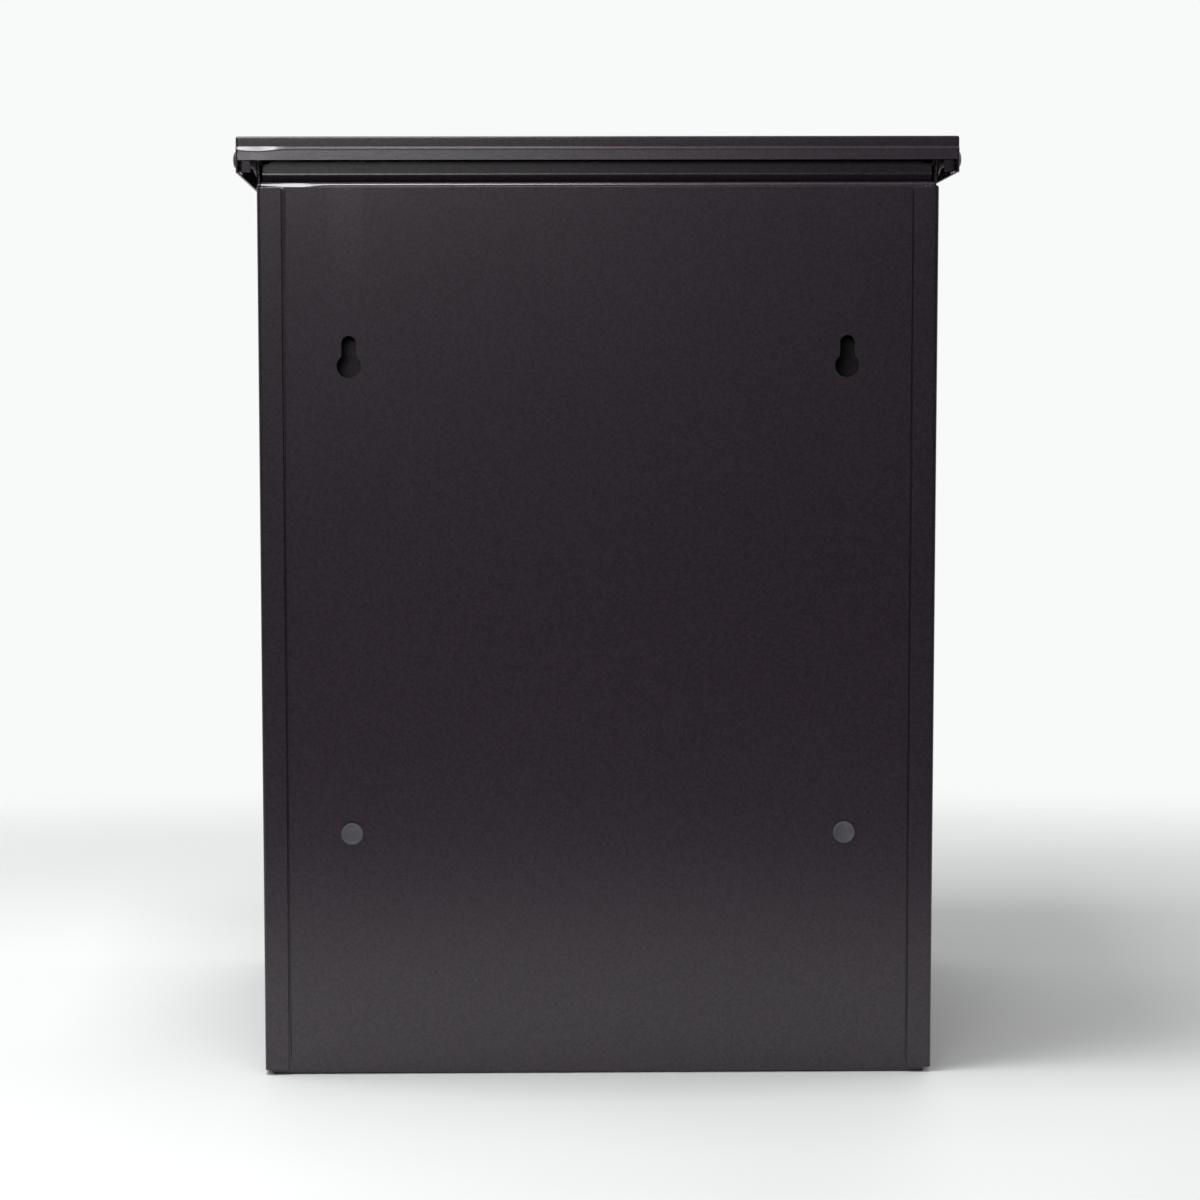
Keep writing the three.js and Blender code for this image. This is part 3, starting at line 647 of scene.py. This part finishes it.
def build_side_panel(side, sign):
    """Side of the case with its door flange and its wall flange."""
    low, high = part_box(f"side_panel_{side}")
    outer = sign * case_half
    door_flange = high.x - low.x
    bm = bmesh.new()
    border = loop_edges(bm, [(outer, y, z) for y, z in side_outline()])
    bmesh.ops.edgeloop_fill(bm, edges=border)
    face_towards(bm, bm.faces[:], Vector((sign, 0, 0)))
    for y, reach in ((door_face, door_flange), (wall_face, REAR_FLANGE)):
        edge = [e for e in bm.edges if all(abs(v.co.y - y) < TINY for v in e.verts)]
        made = bmesh.ops.extrude_edge_only(bm, edges=edge)["geom"]
        far = [v for v in made if isinstance(v, bmesh.types.BMVert)]
        bmesh.ops.translate(bm, verts=far, vec=Vector((-sign * reach, 0, 0)))
    bm.normal_update()
    for face in bm.faces:
        if abs(face.normal.y) > 0.9 and face.normal.y * face.calc_center_median().y < 0:
            face.normal_flip()
    bm.normal_update()
    fold_all(bm)
    # Cut across under the ear, so that the cuts round the hole meet only simple outlines.
    under_ear = (flange_top + pivot.z - EAR) / 2
    slice_at(bm, 2, under_ear, [f for f in bm.faces if abs(f.normal.x) > 0.9])
    open_hole(bm, circle_at(0, Vector((outer, pivot.y, pivot.z)), RIVET_HOLE, 24), 0, margin=1.2 * MM)
    return sheet_piece(f"side_sheet_{side}", bm, "case", [f"side_panel_{side}"])


def build_floor_pan():
    """Floor tray with four upstands and rolled corners."""
    low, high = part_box("floor_pan")
    bm = box_mesh(low, high)
    drop_faces(bm, lambda c: c.z > high.z - NEAR)
    fold_all(bm)
    return sheet_piece("floor_tray", bm, "case", ["floor_pan"])


def build_sill():
    """Sill under the door, with the lower pin's hole in its top fold."""
    low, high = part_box("front_sill")
    line = [(low.y + DOOR_RETURN, high.z), (low.y, high.z), (low.y, 0), (high.y, 0)]
    bm = swept(line, 0, low.x, high.x)
    fold_all(bm)
    open_hole(bm, circle_at(2, Vector((hinge.x, hinge.y, high.z)), PIN_HOLE, 24), 2, margin=1 * MM)
    return sheet_piece("sill_sheet", bm, "case", ["front_sill"])


def build_rail():
    """Rail over the door: hem for the lid to rest on, and a fold with the upper pin's hole."""
    low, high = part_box("front_rail")
    past_rests = 6 * MM
    hem = middle("lid_rest_left").y - low.y + past_rests
    line = [(low.y + hem, high.z), (low.y, high.z), (low.y, low.z), (low.y + DOOR_RETURN, low.z)]
    bm = swept(line, 0, low.x, high.x)
    fold_all(bm)
    open_hole(bm, circle_at(2, Vector((hinge.x, hinge.y, low.z)), PIN_HOLE, 24), 2, margin=1 * MM)
    return sheet_piece("rail_sheet", bm, "case", ["front_rail"])


def build_stop_rail():
    """Angle behind the door's lock edge."""
    low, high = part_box("door_stop_rail")
    bm = swept([(low.x, low.y), (high.x, low.y), (high.x, high.y)], 2, low.z, high.z)
    fold_all(bm)
    return sheet_piece("stop_angle", bm, "case", ["door_stop_rail"])


def rounded_block(low, high, radius, steps=4):
    """Block with all its edges rounded."""
    bm = box_mesh(low, high)
    roll(bm, bm.edges[:], radius, steps)
    return bm


def build_buffer(end):
    """Ribbed rubber strip between the stop angle and the door."""
    node = f"door_buffer_{end}"
    low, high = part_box(node)
    ribs = 8
    rib_groove = 0.3 * MM
    groove_half = 0.5 * MM
    pitch = (high.z - low.z) / ribs
    bm = rounded_block(low, high, 0.35 * MM)
    for k in range(1, ribs):
        for offset in (-groove_half, 0, groove_half):
            slice_at(bm, 2, low.z + k * pitch + offset)
    for vert in bm.verts:
        place = (vert.co.z - low.z) / pitch
        in_groove = abs(place - round(place)) * pitch < NEAR and 0 < round(place) < ribs
        if in_groove and vert.co.y < middle(node).y:
            vert.co.y += rib_groove
    return finish_piece(f"rubber_strip_{end}", bm, "case", "rubber", [node])


def build_lid_rest(side):
    """Rubber button with a rolled rim and a shallow dish that the lid lands on."""
    node = f"lid_rest_{side}"
    low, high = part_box(node)
    radius = (high.x - low.x) / 2
    height = high.z - low.z
    dish = height - 0.5 * MM
    rim = arc((radius - MM, height - MM), MM, 0, 90, 5)
    profile = [(0, 0), (radius, 0), *rim, (radius - 2 * MM, height), (radius - 2.8 * MM, dish), (0, dish)]
    centre = middle(node)
    bm = turned(profile, 2, Vector((centre.x, centre.y, low.z)), steps=40)
    return finish_piece(f"rest_button_{side}", bm, "case", "rubber", [node], edge=0.15 * MM)


def build_hole_plug(side):
    """Snap-in plug: barb, stem, and a head with a raised rim round a shallow dish, and the gate's mark in
    its middle."""
    node = f"hole_plug_{side}"
    low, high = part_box(node)
    centre = middle(node)
    radius = (high.x - low.x) / 2
    seat = panel_face + GAP
    head = high.y - seat
    stem = PLUG_HOLE - GAP
    barb = PLUG_HOLE + 0.5 * MM
    tip = low.y - seat
    edge = 0.5 * MM
    dish_edge = radius - 1.5 * MM
    gate = 0.9 * MM
    profile = [
        (0, tip), (stem - 1.2 * MM, tip), (barb, -SHEET - GAP - 1.1 * MM), (stem, -SHEET - 2 * GAP),
        (stem, 0), (radius - 0.2 * MM, 0), *arc((radius - edge, head - edge), edge, -30, 100, 6),
        (dish_edge, head), (dish_edge - 0.5 * MM, head - 0.45 * MM), (gate + 0.2 * MM, head - 0.5 * MM),
        (gate, head - 0.35 * MM), (0, head - 0.32 * MM),
    ]
    bm = turned(profile, 1, Vector((centre.x, seat, centre.z)))
    return finish_piece(f"wall_plug_{side}", bm, "case", "plug", [node], edge=0.08 * MM)


def build_bush(side, sign):
    """Nylon bush on the pivot: tapered flange against the case, plain barrel out to the lid."""
    node = f"pivot_bush_{side}"
    low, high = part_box(node)
    flange = (high.z - low.z) / 2
    start = low.x if sign > 0 else high.x
    length = high.x - low.x
    barrel = 5 * MM
    profile = [(RIVET_HOLE, 0), (flange - 0.4 * MM, 0), (flange, 0.3 * MM), (barrel + 1.4 * MM, 2.2 * MM),
               (barrel + 0.4 * MM, 2.8 * MM), (barrel, 3.6 * MM), (barrel, length), (RIVET_HOLE, length)]
    profile = [(radius, sign * along) for radius, along in profile]
    bm = turned(profile, 0, Vector((start, pivot.y, pivot.z)), closed=True)
    return finish_piece(f"bush_{side}", bm, "case", "nylon", [node], edge=0.2 * MM)


def build_door_pin(end):
    """Hinge pin with a flat head and a lead-in at its tip."""
    node = f"door_pin_{end}"
    low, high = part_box(node)
    head_end, inwards = (high.z, -1) if end == "top" else (low.z, 1)
    shank = 2.6 * MM
    head = 2 * MM
    lead_in = 0.8 * MM
    radius = (high.x - low.x) / 2
    length = high.z - low.z
    profile = [(0, 0), (radius - 0.5 * MM, 0), (radius, 0.5 * MM), (radius, head), (shank, head),
               (shank, length - lead_in), (shank - lead_in, length), (0, length)]
    profile = [(r, inwards * along) for r, along in profile]
    bm = turned(profile, 2, Vector((hinge.x, hinge.y, head_end)), steps=32)
    return finish_piece(f"hinge_pin_{end}", bm, "case", "zinc", [node], edge=0.15 * MM)


def build_washer(end):
    """Nylon washer under the door's corner."""
    node = f"door_washer_{end}"
    low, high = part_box(node)
    radius = (high.x - low.x) / 2
    profile = [(PIN_HOLE, 0), (radius, 0), (radius, high.z - low.z), (PIN_HOLE, high.z - low.z)]
    bm = turned(profile, 2, Vector((hinge.x, hinge.y, low.z)), closed=True, steps=40)
    return finish_piece(f"washer_{end}", bm, "case", "nylon", [node], edge=0.2 * MM)


# ---- lid -----------------------------------------------------------------------------------------
def build_hood():
    """Lid: one folded hood whose rear skirt is jogged outwards and cut short over the ledge."""
    half = hood_high.x
    bm = bmesh.new()
    bmesh.ops.create_cube(bm, size=1)
    for vert in bm.verts:
        y = hood_rear_upper if vert.co.y > 0 else hood_low.y
        z = lid_top(y) if vert.co.z > 0 else lid_top(y) - SKIRT_DROP
        vert.co = Vector((math.copysign(half, vert.co.x), y, z))
    bm.normal_update()
    bottom = [f for f in bm.faces if f.normal.z < -0.9]
    bmesh.ops.delete(bm, geom=bottom, context="FACES")
    roll(bm, sharp_edges(bm), LID_BEND)
    jog_z = lid_top_rear - JOG_DROP
    cut_z = lid_top_rear - REAR_SKIRT_DROP
    rear = hood_rear_upper - LID_BEND - NEAR
    for z in (jog_z + JOG / 2, jog_z - JOG / 2, cut_z):
        slice_at(bm, 2, z, [f for f in bm.faces if f.calc_center_median().y > rear])
    for vert in bm.verts:
        if vert.co.y > rear and vert.co.z < jog_z:
            vert.co.y += JOG
    jogs = [e for e in bm.edges if level_edge(e)
            and all(v.co.y > rear and abs(abs(v.co.z - jog_z) - JOG / 2) < TINY for v in e.verts)]
    roll(bm, jogs, JOG_ROLL, 4)
    for vert in bm.verts:
        if vert.co.y > rear and vert.co.z < cut_z + TINY:
            vert.co.y += SKIRT_FLARE
    press_jog_end(bm, jog_z - JOG / 2, rear)
    skirt_inside = half - SHEET
    for sign in SIDES.values():
        slice_at(bm, 0, sign * skirt_inside, [f for f in bm.faces if f.calc_center_median().y > rear])
    drop_faces(bm, lambda c: c.y > rear and c.z < cut_z and abs(c.x) < skirt_inside)
    for sign in SIDES.values():
        centre = Vector((sign * half, pivot.y, pivot.z))
        open_hole(bm, circle_at(0, centre, RIVET_HOLE, 24), 0, margin=1.2 * MM)
    return sheet_piece("hood_sheet", bm, "lid", ["lid_hood"])


def build_pull():
    """Folded finger pull on the front skirt."""
    low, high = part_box("lid_pull")
    curl_z = low.z + 4 * MM
    taper = 3 * MM
    face = high.y - SHEET
    bm = swept([(face, high.z), (face, curl_z), (low.y, curl_z), (low.y, low.z)], 0, low.x, high.x)
    for vert in bm.verts:
        if vert.co.z < curl_z - TINY:
            vert.co.x -= math.copysign(taper, vert.co.x)
    bm.normal_update()
    fold_all(bm)
    return sheet_piece("finger_pull", bm, "lid", ["lid_pull"])


def build_bracket(side, sign):
    """Angle inside the end of the lid; its rear leg closes the corner behind the bush."""
    low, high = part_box(f"pivot_bracket_{side}")
    outer, inner = (high.x, low.x) if sign > 0 else (low.x, high.x)
    line = [(outer, low.y), (outer, high.y), (inner, high.y)]
    if sign < 0:
        line.reverse()
    bm = swept(line, 2, low.z, high.z)
    fold_all(bm)
    slope = Vector((0, math.tan(SLOPE), -1)).normalized()
    low_edge = Vector((0, high.y, lid_top(high.y) - SKIRT_DROP + GAP))
    bmesh.ops.bisect_plane(bm, geom=bm.verts[:] + bm.edges[:] + bm.faces[:], dist=TINY / 10,
                           plane_co=low_edge, plane_no=slope, clear_outer=True)
    return sheet_piece(f"end_bracket_{side}", bm, "lid", [f"pivot_bracket_{side}"])


def build_rivet(side, sign):
    """Domed rivet through skirt, bracket, bush and case, peened flat inside."""
    node = f"pivot_rivet_{side}"
    low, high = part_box(node)
    tail_end = low.x if sign > 0 else high.x
    length = high.x - low.x
    shank = 2.5 * MM
    tail, tail_height = 4 * MM, 1.5 * MM
    head, head_height = 5 * MM, 1.8 * MM
    seat = length - head_height
    dome = [(head * u, seat + head_height * v) for u, v in arc((0, 0), 1, 0, 90, 8)[:-1]]
    profile = [(0, 0), (tail - 0.4 * MM, 0), (tail, 0.4 * MM), (tail, tail_height), (shank, tail_height),
               (shank, seat), (head - 0.2 * MM, seat), *dome, (0, length)]
    profile = [(r, sign * along) for r, along in profile]
    bm = turned(profile, 0, Vector((tail_end, pivot.y, pivot.z)), steps=40)
    return finish_piece(f"pivot_rivet_head_{side}", bm, "lid", "coat", [node], edge=0.12 * MM)


def build_swing_plate():
    """Swing plate: flange under the lid, plate, folded cheeks and a folded tip."""
    low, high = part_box("swing_plate")
    face = high.y
    flange_end = face - 30 * MM
    hem = face - 10 * MM
    cheek_back = face - 25 * MM
    gap = GAP / math.cos(SLOPE)
    line = [(hem, low.z), (face, low.z), (face, lid_under(face) - gap),
            (flange_end, lid_under(flange_end) - gap)]
    bm = swept(line, 0, low.x, high.x)
    cheek_top = pivot.z - 26 * MM
    cheek_slope = 50 * MM
    cheek_foot = 10 * MM
    notch = 1.5 * BEND
    slice_at(bm, 2, cheek_top)
    slice_at(bm, 2, cheek_top + SHEET)
    for x in (low.x + notch, high.x - notch):
        slice_at(bm, 0, x)
    drop_faces(bm, lambda c: cheek_top < c.z < cheek_top + SHEET and abs(c.x) > high.x - notch)
    outline = [(face, cheek_top), (face - notch, cheek_top), (cheek_back, cheek_top - cheek_slope),
               (cheek_back, low.z + cheek_foot), (hem, low.z), (face, low.z)]
    for sign, x in ((-1, low.x), (1, high.x)):
        border = loop_edges(bm, [(x, y, z) for y, z in outline])
        made = bmesh.ops.edgeloop_fill(bm, edges=border)["faces"]
        face_towards(bm, made, Vector((sign, 0, 0)))
    bmesh.ops.remove_doubles(bm, verts=bm.verts[:], dist=TINY)
    bm.normal_update()
    fold_all(bm)
    return sheet_piece("swing_sheet", bm, "lid", ["swing_plate"])


def thread_profile(radius, start, end, pitch=0.8 * MM, depth=0.35 * MM):
    """Ridges of a thread, drawn as rings from start to end."""
    count = max(2, round(abs(end - start) / pitch))
    step = (end - start) / count
    points = []
    for k in range(count):
        points += [(radius - depth, start + k * step), (radius, start + (k + 0.5) * step)]
    return points + [(radius - depth, end)]


def hexagon(centre, radius, turn=0):
    """Corners of a hexagon; turn in degrees."""
    return arc(centre, radius, turn, turn + 360, 6)[:-1]


def build_stud(number):
    """Threaded stud with its hexagon nut, square to the lid's underside."""
    node = f"plate_stud_{number}"
    length = 7.2 * MM
    stud_radius = 2 * MM
    nut_radius, nut_height = 4.6 * MM, 3.2 * MM
    thread = thread_profile(stud_radius, length / 2, -length / 2 + 0.3 * MM)
    stud = turned([(0, length / 2), *thread, (0, -length / 2)], 2, Vector((0, 0, 0)), steps=24)
    seat = length / 2 - SHEET - 2 * GAP
    bore = arc((0, 0), stud_radius + 0.05 * MM, 0, 360, 24)[:-1]
    nut = plate_between(hexagon((0, 0), nut_radius, 30), bore, 2, seat - nut_height, seat)
    rims = [e for e in sharp_edges(nut, 50) if level_edge(e) and e.verts[0].co.xy.length > 2 * stud_radius]
    roll(nut, rims, 0.3 * MM, 2)
    bm = merged(stud, nut)
    place = Matrix.Translation(middle(node)) @ Matrix.Rotation(SLOPE, 4, "X")
    bmesh.ops.transform(bm, matrix=place, verts=bm.verts[:])
    return finish_piece(f"stud_and_nut_{number}", bm, "lid", "zinc", [node])


# ---- door ----------------------------------------------------------------------------------------
def build_door():
    """Door pan: four returns, the hinge edge rolled round its pins, and the lock's hole."""
    low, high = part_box("door_panel")
    bm = box_mesh(low, high)
    drop_faces(bm, lambda c: c.y > high.y - NEAR)
    bm.normal_update()
    hinge_edge = [e for e in sharp_edges(bm)
                  if all(v.co.x < low.x + NEAR and v.co.y < low.y + NEAR for v in e.verts)]
    roll(bm, hinge_edge, HINGE_BEND, 16)
    roll(bm, sharp_edges(bm, 40), BEND)
    for z in (low.z, high.z):
        open_hole(bm, circle_at(2, Vector((hinge.x, hinge.y, z)), PIN_HOLE, 24), 2, margin=0.6 * MM)
    centre = Vector((lock_axis.x, low.y, lock_axis.z))
    open_hole(bm, circle_at(1, centre, BARREL_HOLE), 1)
    return sheet_piece("door_sheet", bm, "door", ["door_panel"])


def build_stiffener():
    """Hat section up the middle of the door."""
    low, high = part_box("door_stiffener")
    web = high.x - 14 * MM
    line = [(high.x, low.y + SHEET), (web, low.y + SHEET), (web, high.y), (-web, high.y),
            (-web, low.y + SHEET), (low.x, low.y + SHEET)]
    bm = swept(line, 2, low.z, high.z)
    fold_all(bm)
    return sheet_piece("door_hat_section", bm, "door", ["door_stiffener"])


def build_lock_housing():
    """Chromed lock case: dished bezel outside, threaded barrel inside."""
    low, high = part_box("lock_housing")
    bezel = (high.x - low.x) / 2
    front = low.y - lock_axis.y
    back = high.y - lock_axis.y
    barrel = 8 * MM
    bore = 5.8 * MM
    seat = -GAP
    shoulder = 1.1 * MM
    thread_start = 2.2 * MM
    profile = [
        (bore, front + 0.5 * MM), (bore + 0.4 * MM, front + 0.1 * MM), (bore + MM, front),
        (bezel - 1.6 * MM, front + 0.1 * MM),
        *arc((bezel - shoulder, front + shoulder + 0.1 * MM), shoulder, -78.5, -9.8, 3),
        (bezel, seat), (barrel - 0.4 * MM, seat),
        *thread_profile(barrel, thread_start, back - MM, pitch=MM), (barrel - 0.6 * MM, back), (bore, back),
    ]
    bm = turned(profile, 1, lock_axis, closed=True, steps=72)
    return finish_piece("lock_case", bm, "door", "chrome", ["lock_housing"], edge=0.08 * MM)


def build_lock_nut():
    """Hexagon nut behind the door."""
    low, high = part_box("lock_nut")
    radius = (high.x - low.x) / 2
    outline = hexagon((lock_axis.x, lock_axis.z), radius)
    hole = arc((lock_axis.x, lock_axis.z), BARREL_HOLE, 0, 360, 36)[:-1]
    bm = plate_between(outline, hole, 1, low.y, high.y)
    return finish_piece("barrel_nut", bm, "door", "zinc", ["lock_nut"], edge=0.4 * MM)


def build_lock_plug():
    """Lock plug: turned face with a keyway sunk in it, body and cam stub."""
    low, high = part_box("lock_plug")
    front = low.y - lock_axis.y
    back = high.y - lock_axis.y
    rotor = (high.x - low.x) / 2
    stub = 2.7 * MM
    shoulder = back - 2.3 * MM
    key_half_width = 0.85 * MM
    key_half_height = 3.5 * MM
    key_depth = 6 * MM
    rim = [(rotor - 0.5 * MM, front), (rotor, front + 0.5 * MM), (rotor, shoulder), (stub, shoulder),
           (stub, back - 0.3 * MM), (stub - 0.3 * MM, back), (0, back)]
    bm = turned(rim, 1, lock_axis)
    face_edges = [e for e in bm.edges if len(e.link_faces) == 1]
    x, z = lock_axis.x, lock_axis.z
    slot_top = arc((x, z + key_half_height - key_half_width), key_half_width, 0, 180, 8)
    slot_low = z - key_half_height
    keyway = [(x + key_half_width, slot_low), *slot_top, (x - key_half_width, slot_low)]
    ring = loop_edges(bm, [Vector((u, low.y, v)) for u, v in keyway])
    bmesh.ops.bridge_loops(bm, edges=face_edges + ring)
    walls = bmesh.ops.extrude_edge_only(bm, edges=ring)["geom"]
    deep = [v for v in walls if isinstance(v, bmesh.types.BMVert)]
    bmesh.ops.translate(bm, verts=deep, vec=Vector((0, key_depth, 0)))
    bmesh.ops.contextual_create(bm, geom=[e for e in walls if isinstance(e, bmesh.types.BMEdge)])
    bmesh.ops.recalc_face_normals(bm, faces=bm.faces[:])
    return finish_piece("keyed_plug", bm, "lock", "chrome", ["lock_plug"], edge=0.1 * MM)


def build_cam():
    """Pressed cam: it hangs down when the lock is open."""
    low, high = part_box("lock_cam")
    radius = (high.x - low.x) / 2
    x, z = lock_axis.x, lock_axis.z
    outline = arc((x, z), radius, 0, 180, 20) + arc((x, low.z + radius), radius, 180, 360, 20)
    stub_hole = 3 * MM
    hole = arc((x, z), stub_hole, 0, 360, 40)[:-1]
    bm = plate_between(outline, hole, 1, low.y, high.y)
    return finish_piece("cam_plate", bm, "lock", "zinc", ["lock_cam"], edge=0.3 * MM)


def build_cam_screw():
    """Pan head screw with a straight driver slot."""
    low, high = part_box("cam_screw")
    radius = (high.x - low.x) / 2
    height = high.y - low.y
    side_height = 0.35 * height
    slot_floor = 0.45 * height
    head = [(radius * u, side_height + (height - side_height) * v) for u, v in arc((0, 0), 1, 0, 80, 8)]
    seat = Vector((lock_axis.x, low.y, lock_axis.z))
    bm = turned([(0, 0), (radius, 0), *head, (0, height)], 1, seat, steps=40)
    slot_half = 0.6 * MM
    wall_lean = 0.05 * MM
    for side in (-1, 1):
        for lean in (0, wall_lean):
            slice_at(bm, 0, lock_axis.x + side * (slot_half + lean))
    for vert in bm.verts:
        if abs(vert.co.x - lock_axis.x) < slot_half + TINY and vert.co.y > low.y + 0.4 * height:
            vert.co.y = low.y + slot_floor
    bm.normal_update()
    return finish_piece("cam_fixing_screw", bm, "lock", "zinc", ["cam_screw"], edge=0.06 * MM)


# ---- weld left at the corners --------------------------------------------------------------------
def bead(centre, size, squash):
    """Drop of weld, a squashed ball."""
    bm = bmesh.new()
    bmesh.ops.create_icosphere(bm, subdivisions=3, radius=size)
    bmesh.ops.scale(bm, verts=bm.verts, vec=squash)
    bmesh.ops.translate(bm, verts=bm.verts, vec=centre)
    return bm


def build_corner_weld(side, sign):
    """Coated drops of weld where the wall flange meets the ledge. Each is given, in mm, by its inset from
    the side, depth, rise over the flange and size."""
    drops = [(1.5, 1.2, 0.9, 1.4), (2.7, 0.9, -3.0, 0.8), (4.6, 1.1, 0.4, 1.0)]
    if sign < 0:
        drops = [(4.8, 1.0, 0.3, 0.9), (7.4, 1.0, 0.2, 0.8)]
    bm = bmesh.new()
    for inset, depth, rise, size in drops:
        x = sign * (case_half - inset * MM)
        place = Vector((x, wall_face - depth * MM, flange_top + rise * MM))
        bm = merged(bm, bead(place, size * MM, Vector((1.0, 0.6, 0.8))))
    return finish_piece(f"corner_weld_{side}", bm, "case", "coat")


# ---- make every piece ----------------------------------------------------------------------------
build_back_panel()
for side, sign in SIDES.items():
    build_side_panel(side, sign)
    build_hole_plug(side)
    build_lid_rest(side)
    build_bush(side, sign)
    build_bracket(side, sign)
    build_rivet(side, sign)
    build_corner_weld(side, sign)
build_floor_pan()
build_sill()
build_rail()
build_stop_rail()
for end in ("top", "bottom"):
    build_buffer(end)
    build_door_pin(end)
    build_washer(end)
build_hood()
build_pull()
build_swing_plate()
for number in (1, 2, 3, 4):
    build_stud(number)
build_door()
build_stiffener()
build_lock_housing()
build_lock_nut()
build_lock_plug()
build_cam()
build_cam_screw()


# ---- stage, light and camera ---------------------------------------------------------------------
ROOM_LIGHT = 0.01            # strength of the room behind the camera
BACKDROP_LIGHT = 0.75        # strength of the pale backdrop, beyond the door
FLOOR_HALF = 3.0             # metres
FLOOR_SOLID = 0.50           # the floor starts to fade this far from its middle
FLOOR_GONE = 0.80            # and has faded out here


def build_floor():
    """Pale floor, far wider than the lit part."""
    bm = bmesh.new()
    bmesh.ops.create_grid(bm, x_segments=1, y_segments=1, size=FLOOR_HALF)
    mesh = bpy.data.meshes.new("studio_floor")
    bm.to_mesh(mesh)
    bm.free()
    mesh.materials.append(painted_floor())
    floor = bpy.data.objects.new("studio_floor", mesh)
    bpy.context.scene.collection.objects.link(floor)


def softbox(name, place, target, size, power):
    """White rectangular soft light aimed at a point, in metres and watts; only its light is seen."""
    light = bpy.data.lights.new(name, "AREA")
    light.shape = "RECTANGLE"
    light.size, light.size_y = size
    light.energy = power
    lamp = bpy.data.objects.new(name, light)
    lamp.location = place
    lamp.rotation_euler = (Vector(target) - Vector(place)).to_track_quat("-Z", "Y").to_euler()
    lamp.visible_camera = False
    bpy.context.scene.collection.objects.link(lamp)


def build_world():
    """Pale backdrop. It also lights the box from beyond the door; the room behind the camera is dim."""
    world = bpy.data.worlds.new("studio_room")
    bpy.context.scene.world = world
    world.use_nodes = True
    tree = world.node_tree
    tree.nodes.clear()
    heading = add_node(tree, "TexCoord").outputs["Generated"]
    across = add_node(tree, "SeparateXYZ", {"Vector": heading}).outputs["Y"]
    glow = add_node(tree, "MapRange", {"Value": across, "From Min": 0.05, "From Max": -0.30,
                                       "To Min": ROOM_LIGHT, "To Max": BACKDROP_LIGHT},
                    interpolation_type="SMOOTHSTEP").outputs["Result"]
    seen = add_node(tree, "LightPath").outputs["Is Camera Ray"]
    room = add_node(tree, "Background", {"Color": linear("FFFFFF"), "Strength": glow})
    backdrop = add_node(tree, "Background", {"Color": linear("F8F9F9"), "Strength": 1.0})
    mixed = add_node(tree, "MixShader", {0: seen, 1: room.outputs[0], 2: backdrop.outputs[0]})
    add_node(tree, "OutputWorld", {"Surface": mixed.outputs[0]})


def build_lights():
    """Soft overhead light for the floor and the folds, low soft light from behind the camera for the
    sheen across the top of the wall side, and weaker light for the other sides."""
    softbox("overhead_softbox", (0.80, 0.20, 1.50), (0.05, 0.10, 0.30), (0.7, 0.7), 6)
    softbox("fold_softbox", (0.25, 0.30, 1.50), (0.25, 0.31, 0), (0.5, 0.5), 15)
    softbox("sheen_softbox", (0.32, 2.60, 0.95), (0, 0.20, 0.50), (0.6, 0.3), 7.5)
    softbox("key_softbox", (0.50, 1.90, 0.90), (0, 0.20, 0.50), (0.5, 0.3), 4.8)
    softbox("high_key_softbox", (0.90, 1.30, 1.55), (0, 0.16, 0.55), (0.5, 0.5), 0.6)
    softbox("door_side_softbox", (-0.60, -2.20, 1.30), (0, -0.16, 0.30), (1.0, 1.0), 3)
    softbox("shaded_side_softbox", (-2.20, -0.40, 1.00), (-0.20, 0, 0.30), (1.0, 1.0), 5)


def build_camera():
    """Camera at the eye height and distance of a person standing behind the box with a long lens."""
    distance = 2.995
    pitch = math.radians(8.5)
    yaw = math.radians(1.18)
    aim = Vector((-0.001, panel_face, 0.2939))
    away = Vector((math.sin(yaw) * math.cos(pitch), math.cos(yaw) * math.cos(pitch), math.sin(pitch)))
    data = bpy.data.cameras.new("camera")
    data.sensor_width = 36
    data.lens = 148.3
    camera = bpy.data.objects.new("camera", data)
    camera.location = aim + away * distance
    camera.rotation_euler = (-away).to_track_quat("-Z", "Y").to_euler()
    bpy.context.scene.collection.objects.link(camera)
    bpy.context.scene.camera = camera


build_floor()
build_world()
build_lights()
build_camera()
bpy.context.scene.view_settings.view_transform = "Standard"
